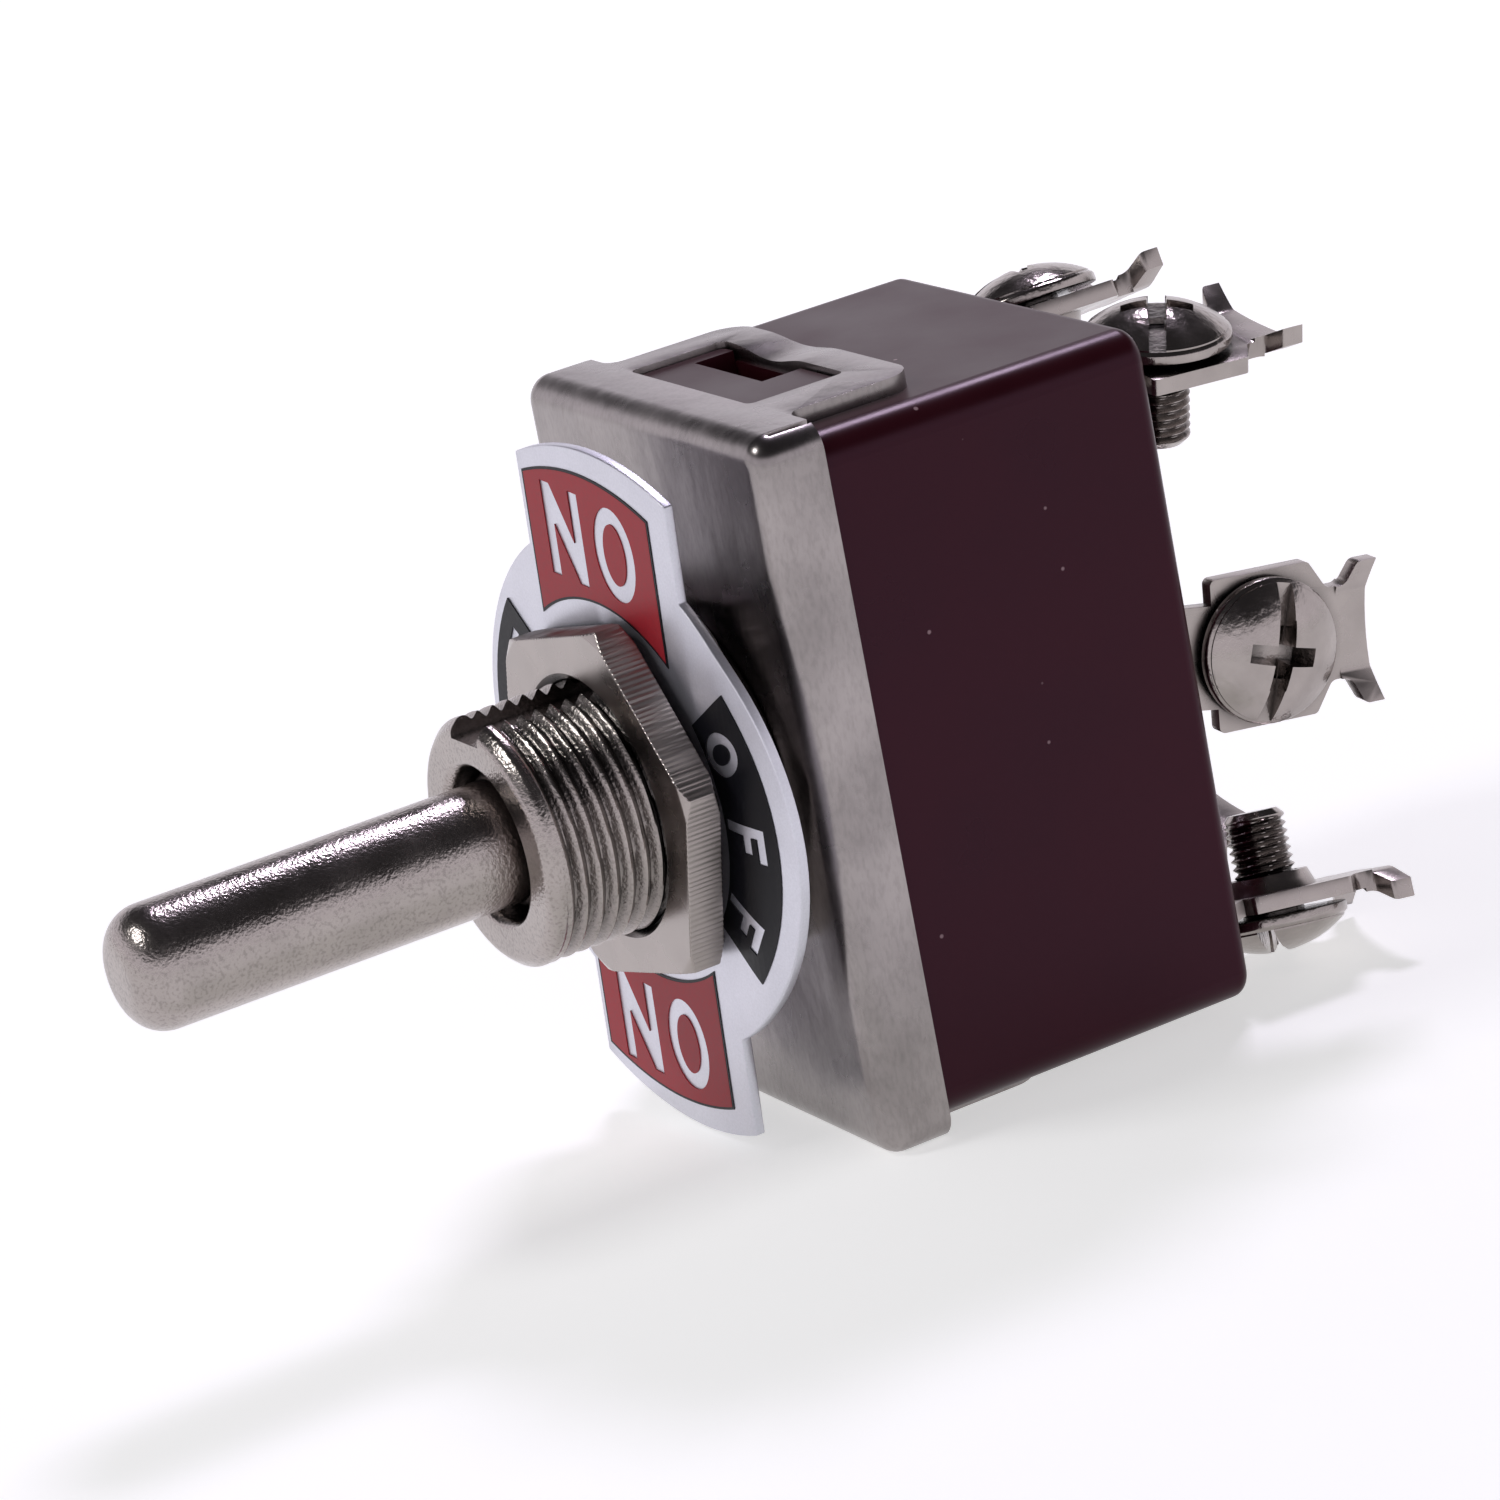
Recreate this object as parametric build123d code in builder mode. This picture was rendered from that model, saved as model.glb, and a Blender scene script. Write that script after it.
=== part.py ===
"""Panel toggle switch, double pole, ON-OFF-ON, with six screw terminals.

Millimetres. The origin is on the bushing's axis, in the bracket's front face, where a panel bears.
The lever points along -Y, the terminals along +Y, and +Z is the way the lever moves.
"""

import os
from math import cos, radians, sin, sqrt, tan

from build123d import *

# Bracket: one folded sheet round the front of the case
sheet = 0.8
bracket_width = 22.5
bracket_shift = -0.35
bracket_height = 34.6
bracket_corner = 1.3
bend_radius = 1.2
flange_reach = 3.4
tongue_width = 16.4
tongue_reach = 10.4
tongue_corner = 1.6
tongue_root = 0.8
corner_slit = 0.35
window_width = 11.2
window_shift = -0.85
window_length = 5.1
window_start = 3.3
window_corner = 0.4

# Case: a phenolic moulding, open at the front
case_width = 21.7
case_rear = 20.8
case_edge = 1.5
case_rear_edge = 0.7
bracket_play = 0.05
mouth_wall = 0.9
side_wall = 1.9
floor_wall = 3.5
barrier = 1.5
barrier_front = 9.2
boss_height = 0.5
boss_play = 0.15
pocket_width = 6.3
pocket_shift = -2.2
pocket_length = 2.1
pocket_depth = 1.7

# Bushing: threaded, staked into the bracket
thread_radius = 6.0
bushing_length = 11.7
bushing_edge = 0.55
spigot_radius = 5.5
rivet_radius = 6.6
rivet_height = 0.5
rear_bore_radius = 4.6
mouth_radius = 3.75
neck_radius = 3.5
keyway_width = 2.6
keyway_depth = 1.0
keyway_end = 1.2

# Hardware on the bushing
washer_thickness = 0.6
washer_radius = 7.9
washer_teeth = 12
washer_notch = 0.9
nut_flats = 16.2
nut_chamfer = 0.45
rear_nut_thickness = 1.8
rear_nut_turn_angle = 4.0
front_nut_thickness = 1.8
front_nut_turn_angle = 12.0
front_nut_back = 4.05
thread_play = 0.03

# Indicator plate: printed sheet, loose between the nuts
plate_thickness = 0.5
plate_radius = 12.5
tab_radius = 16.75
tab_drop = -0.15
tab_width = 12.8
plate_shift = -0.35
plate_hole_play = 0.15
plate_turn_angle = -5.4
plate_lean_angle = 2.6
plate_front = 3.6
plate_bend = 9.0
plate_bend_start = 8.6
plate_bend_radius = 9.0
key_tab_width = 1.4
key_tab_depth = 0.6
ink = 0.06
print_shift = -0.95
print_drop = -0.25
on_field_width = 10.5
on_field_outer = 15.5
on_field_inner = 9.4
off_field_shift = -0.5
off_field_outer = 11.6
off_field_inner = 8.0
off_field_half_angle = 38.0

# Lever: one turned rod with a ball, held in the bushing
lever_pivot = 8.2
ball_radius = 4.0
ball_play = 0.05
rod_radius = 2.95
lever_tip = 30.4
tip_round = 1.9
stem_radius = 2.0
lever_travel_angle = 11.0
pin_radius = 0.8
pin_length = 9.3
pin_play = 0.05
retainer_play = 0.02
retainer_front = 6.9
retainer_throat = 5.7
retainer_front_radius = 3.9
retainer_throat_radius = 3.3
retainer_rear_radius = 3.85

# Carrier and plungers: they carry the lever's motion to the rockers
column = 5.3
carrier_front = 3.1
carrier_length = 5.5
carrier_hub_radius = 3.2
carrier_barrel_radius = 2.5
carrier_web = 3.0
stem_depth = 4.2
plunger_radius = 1.7
plunger_play = 0.05
plunger_tip_radius = 1.3
plunger_head = 2.6
bore_bottom = 1.1
spring_length = 2.8
spring_radius = 1.3
spring_wire = 0.22
spring_turns = 3.5

# Insulating sheet behind the bracket
insulator_thickness = 0.8
insulator_play = 0.1
insulator_slot_width = 5.2
insulator_slot_height = 9.6

# Rockers: see-saw contact strips
rocker_pivot = 13.9
rocker_thickness = 0.8
rocker_width = 3.8
rocker_end = 0.1
rocker_knee = 7.2
rocker_crest = 4.6
rocker_slope_angle = 23.5
rocker_saddle_radius = 7.35
rocker_bend = 1.0
rocker_roll_radius = 0.8
rocker_roll_half = 3.1
plunger_gap = 0.15

# Contacts: domed rivets
contact_radius = 1.4
contact_dome = 0.25
contact_inset = 3.6
moving_contact_height = 0.8
fixed_contact_height = 0.55

# Terminals: six lugs of one strip
strip = 0.8
slot_play = 0.05
row_inset = 3.1
middle_inset = 2.5
neck_width = 5.0
foot_margin = 0.4
ear_half_width = 1.9
ear_top = 0.8
inner_ear = 2.7
roll_play = 0.05
shoulder = 1.9
lug_width = 7.4
lug_body = 5.2
lug_corner = 0.3
waist_width = 4.5
waist_at = 6.1
waist_end = 7.0
waist_radius = 0.45
tail_start = 7.4
tail_length = 8.4
tail_width = 6.9
tail_dip = 0.35
prong_start = 2.0
prong_turn_angle = 28.0
prong_bend = 1.0
hole_at = 2.6
collar_radius = 2.3
collar_height = 0.8
collar_taper_angle = 20.0

# Terminal screws
screw_radius = 1.5
screw_play = 0.05
screw_length = 5.0
screw_point = 0.3
head_radius = 3.5
head_rim = 0.5
head_height = 1.85
screw_lift = 0.3
slot_width = 0.8
slot_depth = 1.25
cross_length = 3.8
cross_depth = 1.5

# Name, side, row, then how the lug was bent by hand: its three turns and its three shifts (along,
# across and outward), and the turn of the screw's slot
lugs = [
    ("terminal_upper_right", 1, 1, (9.4, 4.0, -1.0), (-0.6, 0.3, 0.2), -33.0),
    ("terminal_upper_left", -1, 1, (-20.0, 0.0, 4.0), (-0.7, 0.1, 0.4), 75.0),
    ("terminal_middle_right", 1, 0, (0.0, -5.5, -6.0), (0.1, -0.4, 0.3), -14.0),
    ("terminal_middle_left", -1, 0, (0.0, -2.0, 3.0), (0.0, 0.2, 0.2), 60.0),
    ("terminal_lower_right", 1, -1, (-17.0, -7.0, 5.0), (0.0, 0.3, 0.4), 35.0),
    ("terminal_lower_left", -1, -1, (8.0, -2.0, 2.0), (0.0, 0.0, 0.0), 80.0),
]

# Worked out from the sizes above
case_height = bracket_height - 2 * sheet
case_front = sheet + bracket_play
case_step = flange_reach + bracket_play
case_floor = case_rear - floor_wall
cavity_half_width = case_width / 2 + bracket_shift - side_wall
cavity_half_height = case_height / 2 - side_wall
ledge_half_width = bracket_width / 2 - sheet - bracket_play
ledge_half_height = bracket_height / 2 - sheet - bracket_play
rivet_back = sheet + rivet_height
insulator_front = rivet_back + bracket_play
insulator_back = insulator_front + insulator_thickness
window_middle = window_start + window_length / 2
carrier_back = carrier_front + carrier_length
foot_front = case_floor - strip
hole_radius = screw_radius + screw_play
row = case_height / 2 - row_inset
middle_column = case_width / 2 + bracket_shift - middle_inset
contact_offset = row - contact_inset
rocker_half_length = contact_offset + contact_radius + rocker_end
foot_end = contact_offset - contact_radius - foot_margin


def front_plane(y):
    """A plane across the bushing's axis at y, seen from the lever's side."""
    return Plane(origin=(0, y, 0), x_dir=(1, 0, 0), z_dir=(0, -1, 0))


def turned(plane, x=0.0, y=0.0, z=0.0):
    """The plane turned about its own axes, in degrees."""
    return Plane(plane.location * Location((0, 0, 0), (x, y, z)))


def save(piece, name):
    """Labels a finished piece and writes its STEP file."""
    piece.part.label = name
    export_step(piece.part, f"parts/{name}.step")


def hexagon_nut(back, thickness, turn):
    """A chamfered hexagon nut whose back face is at y = -back."""
    corner = nut_flats / sqrt(3)
    with BuildPart() as nut:
        with BuildSketch(front_plane(-back)):
            RegularPolygon(radius=nut_flats / 2, side_count=6, major_radius=False, rotation=turn)
            Circle(thread_radius + thread_play, mode=Mode.SUBTRACT)
        extrude(amount=thickness)
        with BuildSketch(Plane.XY):
            with BuildLine():
                Polyline(
                    (0, -back),
                    (corner - nut_chamfer * 2, -back),
                    (corner + 0.01, -back - nut_chamfer),
                    (corner + 0.01, -back - thickness + nut_chamfer),
                    (corner - nut_chamfer * 2, -back - thickness),
                    (0, -back - thickness),
                    close=True,
                )
            make_face()
        revolve(axis=Axis.Y, mode=Mode.INTERSECT)
    return nut


os.makedirs("parts", exist_ok=True)

# Bracket
with BuildPart() as bracket:
    with BuildSketch(front_plane(0)):
        with Locations((bracket_shift, 0)):
            RectangleRounded(bracket_width, bracket_height, bracket_corner)
    extrude(amount=-tongue_reach)
    fillet(bracket.faces().sort_by(Axis.Y)[0].edges(), bend_radius)
    with BuildSketch(front_plane(sheet)):
        with Locations((bracket_shift, 0)):
            RectangleRounded(bracket_width - 2 * sheet, bracket_height - 2 * sheet, bracket_corner - sheet)
    extrude(amount=-tongue_reach, mode=Mode.SUBTRACT)
    with BuildSketch(Plane.XY) as unfolded:
        with Locations((bracket_shift, flange_reach / 2)):
            Rectangle(bracket_width, flange_reach)
        with Locations((bracket_shift, tongue_reach / 2)):
            Rectangle(tongue_width, tongue_reach)
        fillet(unfolded.vertices().group_by(Axis.Y)[-1], tongue_corner)
        roots = [v for v in unfolded.vertices().group_by(Axis.Y)[-3] if abs(v.X) < bracket_width / 2 - 1]
        fillet(roots, tongue_root)
    extrude(amount=bracket_height, both=True, mode=Mode.INTERSECT)
    with BuildSketch(Plane.XY):
        with Locations((window_shift, window_middle)):
            RectangleRounded(window_width, window_length, window_corner)
    extrude(amount=bracket_height, both=True, mode=Mode.SUBTRACT)
    with BuildSketch(Plane.XY):
        with Locations((bracket_shift, bend_radius + flange_reach / 2)):
            with GridLocations(bracket_width - 2 * sheet - corner_slit, 0, 2, 1):
                Rectangle(corner_slit, flange_reach)
    extrude(amount=bracket_height, both=True, mode=Mode.SUBTRACT)
    with BuildSketch(front_plane(0)):
        Circle(spigot_radius)
    extrude(amount=-sheet, mode=Mode.SUBTRACT)
save(bracket, "bracket")

# Case
with BuildPart() as case:
    with BuildSketch(front_plane(case_front)):
        with Locations((bracket_shift, 0)):
            RectangleRounded(2 * ledge_half_width, 2 * ledge_half_height, bracket_corner - sheet)
    extrude(amount=case_front - case_step)
    with BuildSketch(front_plane(case_step)):
        with Locations((bracket_shift, 0)):
            RectangleRounded(case_width, case_height, case_edge)
    extrude(amount=case_step - case_rear)
    fillet(case.faces().sort_by(Axis.Y)[-1].edges(), case_rear_edge)
    with BuildSketch(Plane.XY.offset(case_height / 2)):
        with Locations((window_shift, window_middle)):
            RectangleRounded(window_width - 2 * boss_play, window_length - 2 * boss_play, window_corner)
    extrude(amount=boss_height)
    with BuildSketch(Plane.XY.offset(case_height / 2 + boss_height)):
        with Locations((pocket_shift, window_start + window_length - boss_play - pocket_length / 2)):
            Rectangle(pocket_width, pocket_length)
    extrude(amount=-pocket_depth, mode=Mode.SUBTRACT)
    split(bisect_by=Plane.XY, keep=Keep.TOP)
    mirror(about=Plane.XY)
    with BuildSketch(front_plane(case_front)):
        with Locations((bracket_shift, 0)):
            Rectangle(2 * (ledge_half_width - mouth_wall), 2 * (ledge_half_height - mouth_wall))
    extrude(amount=case_front - insulator_back, mode=Mode.SUBTRACT)
    with BuildSketch(front_plane(insulator_back)):
        Rectangle(2 * cavity_half_width, 2 * cavity_half_height)
    extrude(amount=insulator_back - barrier_front, mode=Mode.SUBTRACT)
    with BuildSketch(front_plane(barrier_front)):
        with GridLocations(cavity_half_width + barrier / 2, 0, 2, 1):
            Rectangle(cavity_half_width - barrier / 2, 2 * cavity_half_height)
    extrude(amount=barrier_front - case_floor, mode=Mode.SUBTRACT)
    with BuildSketch(front_plane(case_floor)):
        with GridLocations(2 * column, 2 * row, 2, 2):
            Rectangle(neck_width + 2 * slot_play, strip + 2 * slot_play)
        with GridLocations(2 * middle_column, 0, 2, 1):
            Rectangle(strip + 2 * slot_play, neck_width + 2 * slot_play)
    extrude(amount=-floor_wall, mode=Mode.SUBTRACT)
save(case, "case")

# Bushing
ball_seat_radius = ball_radius + ball_play
seat_end = lever_pivot + sqrt(ball_seat_radius**2 - neck_radius**2)
bore_step = lever_pivot - ball_play - pin_radius - 0.35
with BuildPart() as bushing:
    with BuildSketch(Plane.XY):
        with BuildLine():
            Polyline(
                (neck_radius, -seat_end),
                (mouth_radius, -bushing_length),
                (thread_radius - bushing_edge, -bushing_length),
                (thread_radius, -bushing_length + bushing_edge),
                (thread_radius, 0),
                (spigot_radius, 0),
                (spigot_radius, sheet),
                (rivet_radius, sheet),
                (rivet_radius - rivet_height / 2, rivet_back),
                (rear_bore_radius, rivet_back),
                (rear_bore_radius, -bore_step),
                (ball_seat_radius, -bore_step),
                (ball_seat_radius, -lever_pivot),
            )
            RadiusArc((ball_seat_radius, -lever_pivot), (neck_radius, -seat_end), ball_seat_radius)
        make_face()
    revolve(axis=Axis.Y)
    with BuildSketch(Plane.XY.offset(thread_radius - keyway_depth)):
        with Locations((0, -(bushing_length + keyway_end) / 2)):
            Rectangle(keyway_width, bushing_length - keyway_end)
    extrude(amount=2 * keyway_depth, mode=Mode.SUBTRACT)
    with BuildSketch(Plane.YZ):
        with Locations((-lever_pivot, 0)):
            Circle(pin_radius + pin_play)
        with Locations((-(lever_pivot + bore_step) / 2, 0)):
            Rectangle(lever_pivot - bore_step, 2 * (pin_radius + pin_play))
    extrude(amount=pin_length / 2 + pin_play, both=True, mode=Mode.SUBTRACT)
save(bushing, "bushing")

# Ball retainer: a turned ring pressed in behind the ball
with BuildPart() as ball_retainer:
    with BuildSketch(Plane.XY):
        with BuildLine():
            Polyline(
                (rear_bore_radius - retainer_play, rivet_back),
                (rear_bore_radius - retainer_play, -retainer_front),
                (retainer_front_radius, -retainer_front),
                (retainer_throat_radius, -retainer_throat),
                (retainer_rear_radius, 0),
                (retainer_rear_radius + rivet_back * tan(radians(lever_travel_angle)), rivet_back),
                close=True,
            )
        make_face()
    revolve(axis=Axis.Y)
save(ball_retainer, "ball_retainer")

# Lock washer with inner teeth
with BuildPart() as lock_washer:
    with BuildSketch(front_plane(0)):
        Circle(washer_radius)
        Circle(thread_radius + thread_play, mode=Mode.SUBTRACT)
        with PolarLocations(thread_radius, washer_teeth):
            Rectangle(2 * washer_notch, washer_notch, mode=Mode.SUBTRACT)
    extrude(amount=washer_thickness)
save(lock_washer, "lock_washer")

# Nuts
rear_nut = hexagon_nut(washer_thickness, rear_nut_thickness, rear_nut_turn_angle)
save(rear_nut, "rear_nut")
front_nut = hexagon_nut(front_nut_back, front_nut_thickness, front_nut_turn_angle)
save(front_nut, "front_nut")

def plate_layer(bottom, thickness):
    """A layer of the indicator plate, from bottom to bottom + thickness, with its lobe's bend."""
    middle = bottom + thickness / 2
    start = plate_bend_start + middle * tan(radians(plate_bend / 2))
    across = Plane(origin=plate_plane.origin, x_dir=plate_plane.x_dir, z_dir=-plate_plane.y_dir)
    lobe = 2 * tab_radius
    with BuildSketch(across) as layer:
        with BuildLine():
            FilletPolyline(
                (-tab_radius, middle),
                (start, middle),
                (start + lobe * cos(radians(plate_bend)), middle - lobe * sin(radians(plate_bend))),
                radius=plate_bend_radius + middle,
            )
        trace(line_width=thickness)
    return layer.sketch


# Indicator plate and its printed fields
plate_plane = turned(front_plane(plate_thickness - plate_front), y=plate_lean_angle, z=plate_turn_angle)
with BuildPart() as indicator_plate:
    with BuildSketch(plate_plane) as outline:
        with Locations((0, tab_drop)):
            Circle(tab_radius)
        with Locations((plate_shift, 0)):
            Rectangle(tab_width, 3 * tab_radius, mode=Mode.INTERSECT)
        with Locations((plate_shift / 2, 0)):
            Circle(plate_radius)
        Circle(thread_radius + plate_hole_play, mode=Mode.SUBTRACT)
        with Locations((0, thread_radius + plate_hole_play)):
            Rectangle(key_tab_width, 2 * key_tab_depth)
    extrude(amount=plate_radius, both=True)
    extrude(plate_layer(0, plate_thickness), amount=2 * tab_radius, both=True, mode=Mode.INTERSECT)
save(indicator_plate, "indicator_plate")

with BuildPart() as on_fields:
    with BuildSketch(plate_plane):
        with Locations((print_shift, print_drop)):
            Circle(on_field_outer)
            Circle(on_field_inner, mode=Mode.SUBTRACT)
            Rectangle(on_field_width, 2 * on_field_outer, mode=Mode.INTERSECT)
    extrude(amount=plate_radius, both=True)
    extrude(plate_layer(plate_thickness, ink), amount=2 * tab_radius, both=True, mode=Mode.INTERSECT)
save(on_fields, "on_fields")

with BuildPart() as off_fields:
    with BuildSketch(Plane(plate_plane.location * Pos(off_field_shift, 0, 0))) as off_field:
        reach = 2 * off_field_outer
        spread = reach * tan(radians(off_field_half_angle))
        with BuildLine():
            Polyline((0, 0), (reach, spread), (reach, -spread), close=True)
        make_face()
        mirror(about=Plane.YZ)
        Circle(off_field_outer, mode=Mode.INTERSECT)
        Circle(off_field_inner, mode=Mode.SUBTRACT)
    extrude(amount=plate_radius, both=True)
    extrude(plate_layer(plate_thickness, ink), amount=2 * tab_radius, both=True, mode=Mode.INTERSECT)
save(off_fields, "off_fields")

# Insulator
with BuildPart() as insulator:
    with BuildSketch(front_plane(insulator_front)):
        with Locations((bracket_shift, 0)):
            Rectangle(
                2 * (ledge_half_width - mouth_wall - insulator_play),
                2 * (ledge_half_height - mouth_wall - insulator_play),
            )
        SlotOverall(insulator_slot_height, insulator_slot_width, rotation=90, mode=Mode.SUBTRACT)
    extrude(amount=-insulator_thickness)
save(insulator, "insulator")

# Lever
rod_start = lever_pivot + sqrt(ball_radius**2 - rod_radius**2)
stem_start = lever_pivot - sqrt(ball_radius**2 - stem_radius**2)
stem_end = carrier_front + stem_depth
with BuildPart() as lever:
    with BuildSketch(Plane.XY):
        with BuildLine():
            Polyline((stem_radius, -stem_start), (stem_radius, stem_end), (0, stem_end), (0, -lever_tip))
            Line((0, -lever_tip), (rod_radius - tip_round, -lever_tip))
            TangentArc(
                (rod_radius - tip_round, -lever_tip),
                (rod_radius, -lever_tip + tip_round),
                tangent=(1, 0),
            )
            Line((rod_radius, -lever_tip + tip_round), (rod_radius, -rod_start))
            ThreePointArc(
                (rod_radius, -rod_start),
                (ball_radius, -lever_pivot),
                (stem_radius, -stem_start),
            )
        make_face()
    revolve(axis=Axis.Y)
    with BuildSketch(Plane.YZ):
        with Locations((-lever_pivot, 0)):
            Circle(pin_radius)
    extrude(amount=ball_radius, both=True, mode=Mode.SUBTRACT)
save(lever, "lever")

with BuildPart() as pivot_pin:
    with BuildSketch(Plane.YZ):
        with Locations((-lever_pivot, 0)):
            Circle(pin_radius)
    extrude(amount=pin_length / 2, both=True)
    chamfer(pivot_pin.faces().filter_by(Axis.X).edges(), pin_radius / 4)
save(pivot_pin, "pivot_pin")

# Carrier
bore_front = carrier_front + bore_bottom
with BuildPart() as carrier:
    with BuildSketch(front_plane(carrier_front)):
        Circle(carrier_hub_radius)
        Rectangle(2 * column, carrier_web)
        with GridLocations(2 * column, 0, 2, 1):
            Circle(carrier_barrel_radius)
    extrude(amount=-carrier_length)
    with BuildSketch(front_plane(carrier_front)):
        Circle(stem_radius)
    extrude(amount=-stem_depth, mode=Mode.SUBTRACT)
    with BuildSketch(front_plane(carrier_back)):
        with GridLocations(2 * column, 0, 2, 1):
            Circle(plunger_radius + plunger_play)
    extrude(amount=carrier_length - bore_bottom, mode=Mode.SUBTRACT)
save(carrier, "carrier")

# Plungers and springs, one of each for either pole
saddle_depth = rocker_saddle_radius / cos(radians(rocker_slope_angle)) - rocker_saddle_radius
rocker_vertex = rocker_roll_radius + rocker_thickness / 2 - 0.1 - saddle_depth
rocker_face = rocker_pivot - rocker_vertex - saddle_depth - rocker_thickness / 2
plunger_end = rocker_face - plunger_gap
plunger_front = bore_front + spring_length
for name, side in (("right", 1), ("left", -1)):
    with BuildPart() as plunger:
        with BuildSketch(Plane.XY.move(Location((side * column, 0, 0)))):
            with BuildLine():
                Polyline(
                    (0, plunger_front),
                    (plunger_radius, plunger_front),
                    (plunger_radius, carrier_back + plunger_head / 2),
                    (plunger_tip_radius, carrier_back + plunger_head / 2 + 0.3),
                    (plunger_tip_radius, plunger_end - plunger_tip_radius),
                )
                RadiusArc(
                    (plunger_tip_radius, plunger_end - plunger_tip_radius),
                    (0, plunger_end),
                    -plunger_tip_radius,
                )
                Line((0, plunger_end), (0, plunger_front))
            make_face()
        revolve(axis=Axis((side * column, 0, 0), (0, 1, 0)))
    save(plunger, f"plunger_{name}")

    with BuildPart() as spring:
        coil_plane = Plane(origin=(side * column, bore_front + spring_wire, 0), z_dir=(0, 1, 0))
        height = spring_length - 2 * spring_wire
        coil = Helix(height / spring_turns, height, spring_radius)
        placed_coil = coil.moved(Location(coil_plane))
        with BuildSketch(Plane(origin=placed_coil @ 0, z_dir=placed_coil % 0)):
            Circle(spring_wire)
        sweep(path=placed_coil, is_frenet=True)
    save(spring, f"spring_{name}")

    with BuildPart() as rocker:
        crest = rocker_crest * tan(radians(rocker_slope_angle))
        arm = rocker_pivot - rocker_thickness / 2 - moving_contact_height + 0.3
        with BuildSketch(Plane.YZ.offset(side * column)):
            with BuildLine() as spine:
                FilletPolyline(
                    (arm, -rocker_half_length),
                    (arm, -rocker_knee),
                    (rocker_pivot - rocker_vertex - crest, -rocker_crest),
                    (rocker_pivot - rocker_vertex, 0),
                    (rocker_pivot - rocker_vertex - crest, rocker_crest),
                    (arm, rocker_knee),
                    (arm, rocker_half_length),
                    radius=[rocker_bend, rocker_bend, rocker_saddle_radius, rocker_bend, rocker_bend],
                )
            trace(line_width=rocker_thickness)
        extrude(amount=rocker_width / 2, both=True)
        with BuildSketch(Plane.YZ.offset(side * column)):
            with Locations((rocker_pivot - rocker_roll_radius / 2, 0)):
                Rectangle(rocker_roll_radius + 0.4, rocker_roll_radius)
        extrude(amount=rocker_width / 2, both=True)
        with BuildSketch(Plane.YZ.offset(side * column)):
            with Locations((rocker_pivot, 0)):
                Circle(rocker_roll_radius)
        extrude(amount=rocker_roll_half, both=True)
    save(rocker, f"rocker_{name}")

    arm_back = arm + rocker_thickness / 2
    with BuildPart() as moving_contacts:
        with BuildSketch(front_plane(arm_back)):
            with Locations((side * column, contact_offset), (side * column, -contact_offset)):
                Circle(contact_radius)
        extrude(amount=-moving_contact_height)
        rims = moving_contacts.faces().filter_by(Axis.Y).group_by(Axis.Y)[-1].edges()
        fillet(rims, contact_dome)
    save(moving_contacts, f"moving_contacts_{name}")

with BuildPart() as fixed_contacts:
    with BuildSketch(front_plane(foot_front)):
        with GridLocations(2 * column, 2 * contact_offset, 2, 2):
            Circle(contact_radius)
    extrude(amount=fixed_contact_height)
    fillet(fixed_contacts.faces().filter_by(Axis.Y).group_by(Axis.Y)[0].edges(), contact_dome)
save(fixed_contacts, "fixed_contacts")

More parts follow.
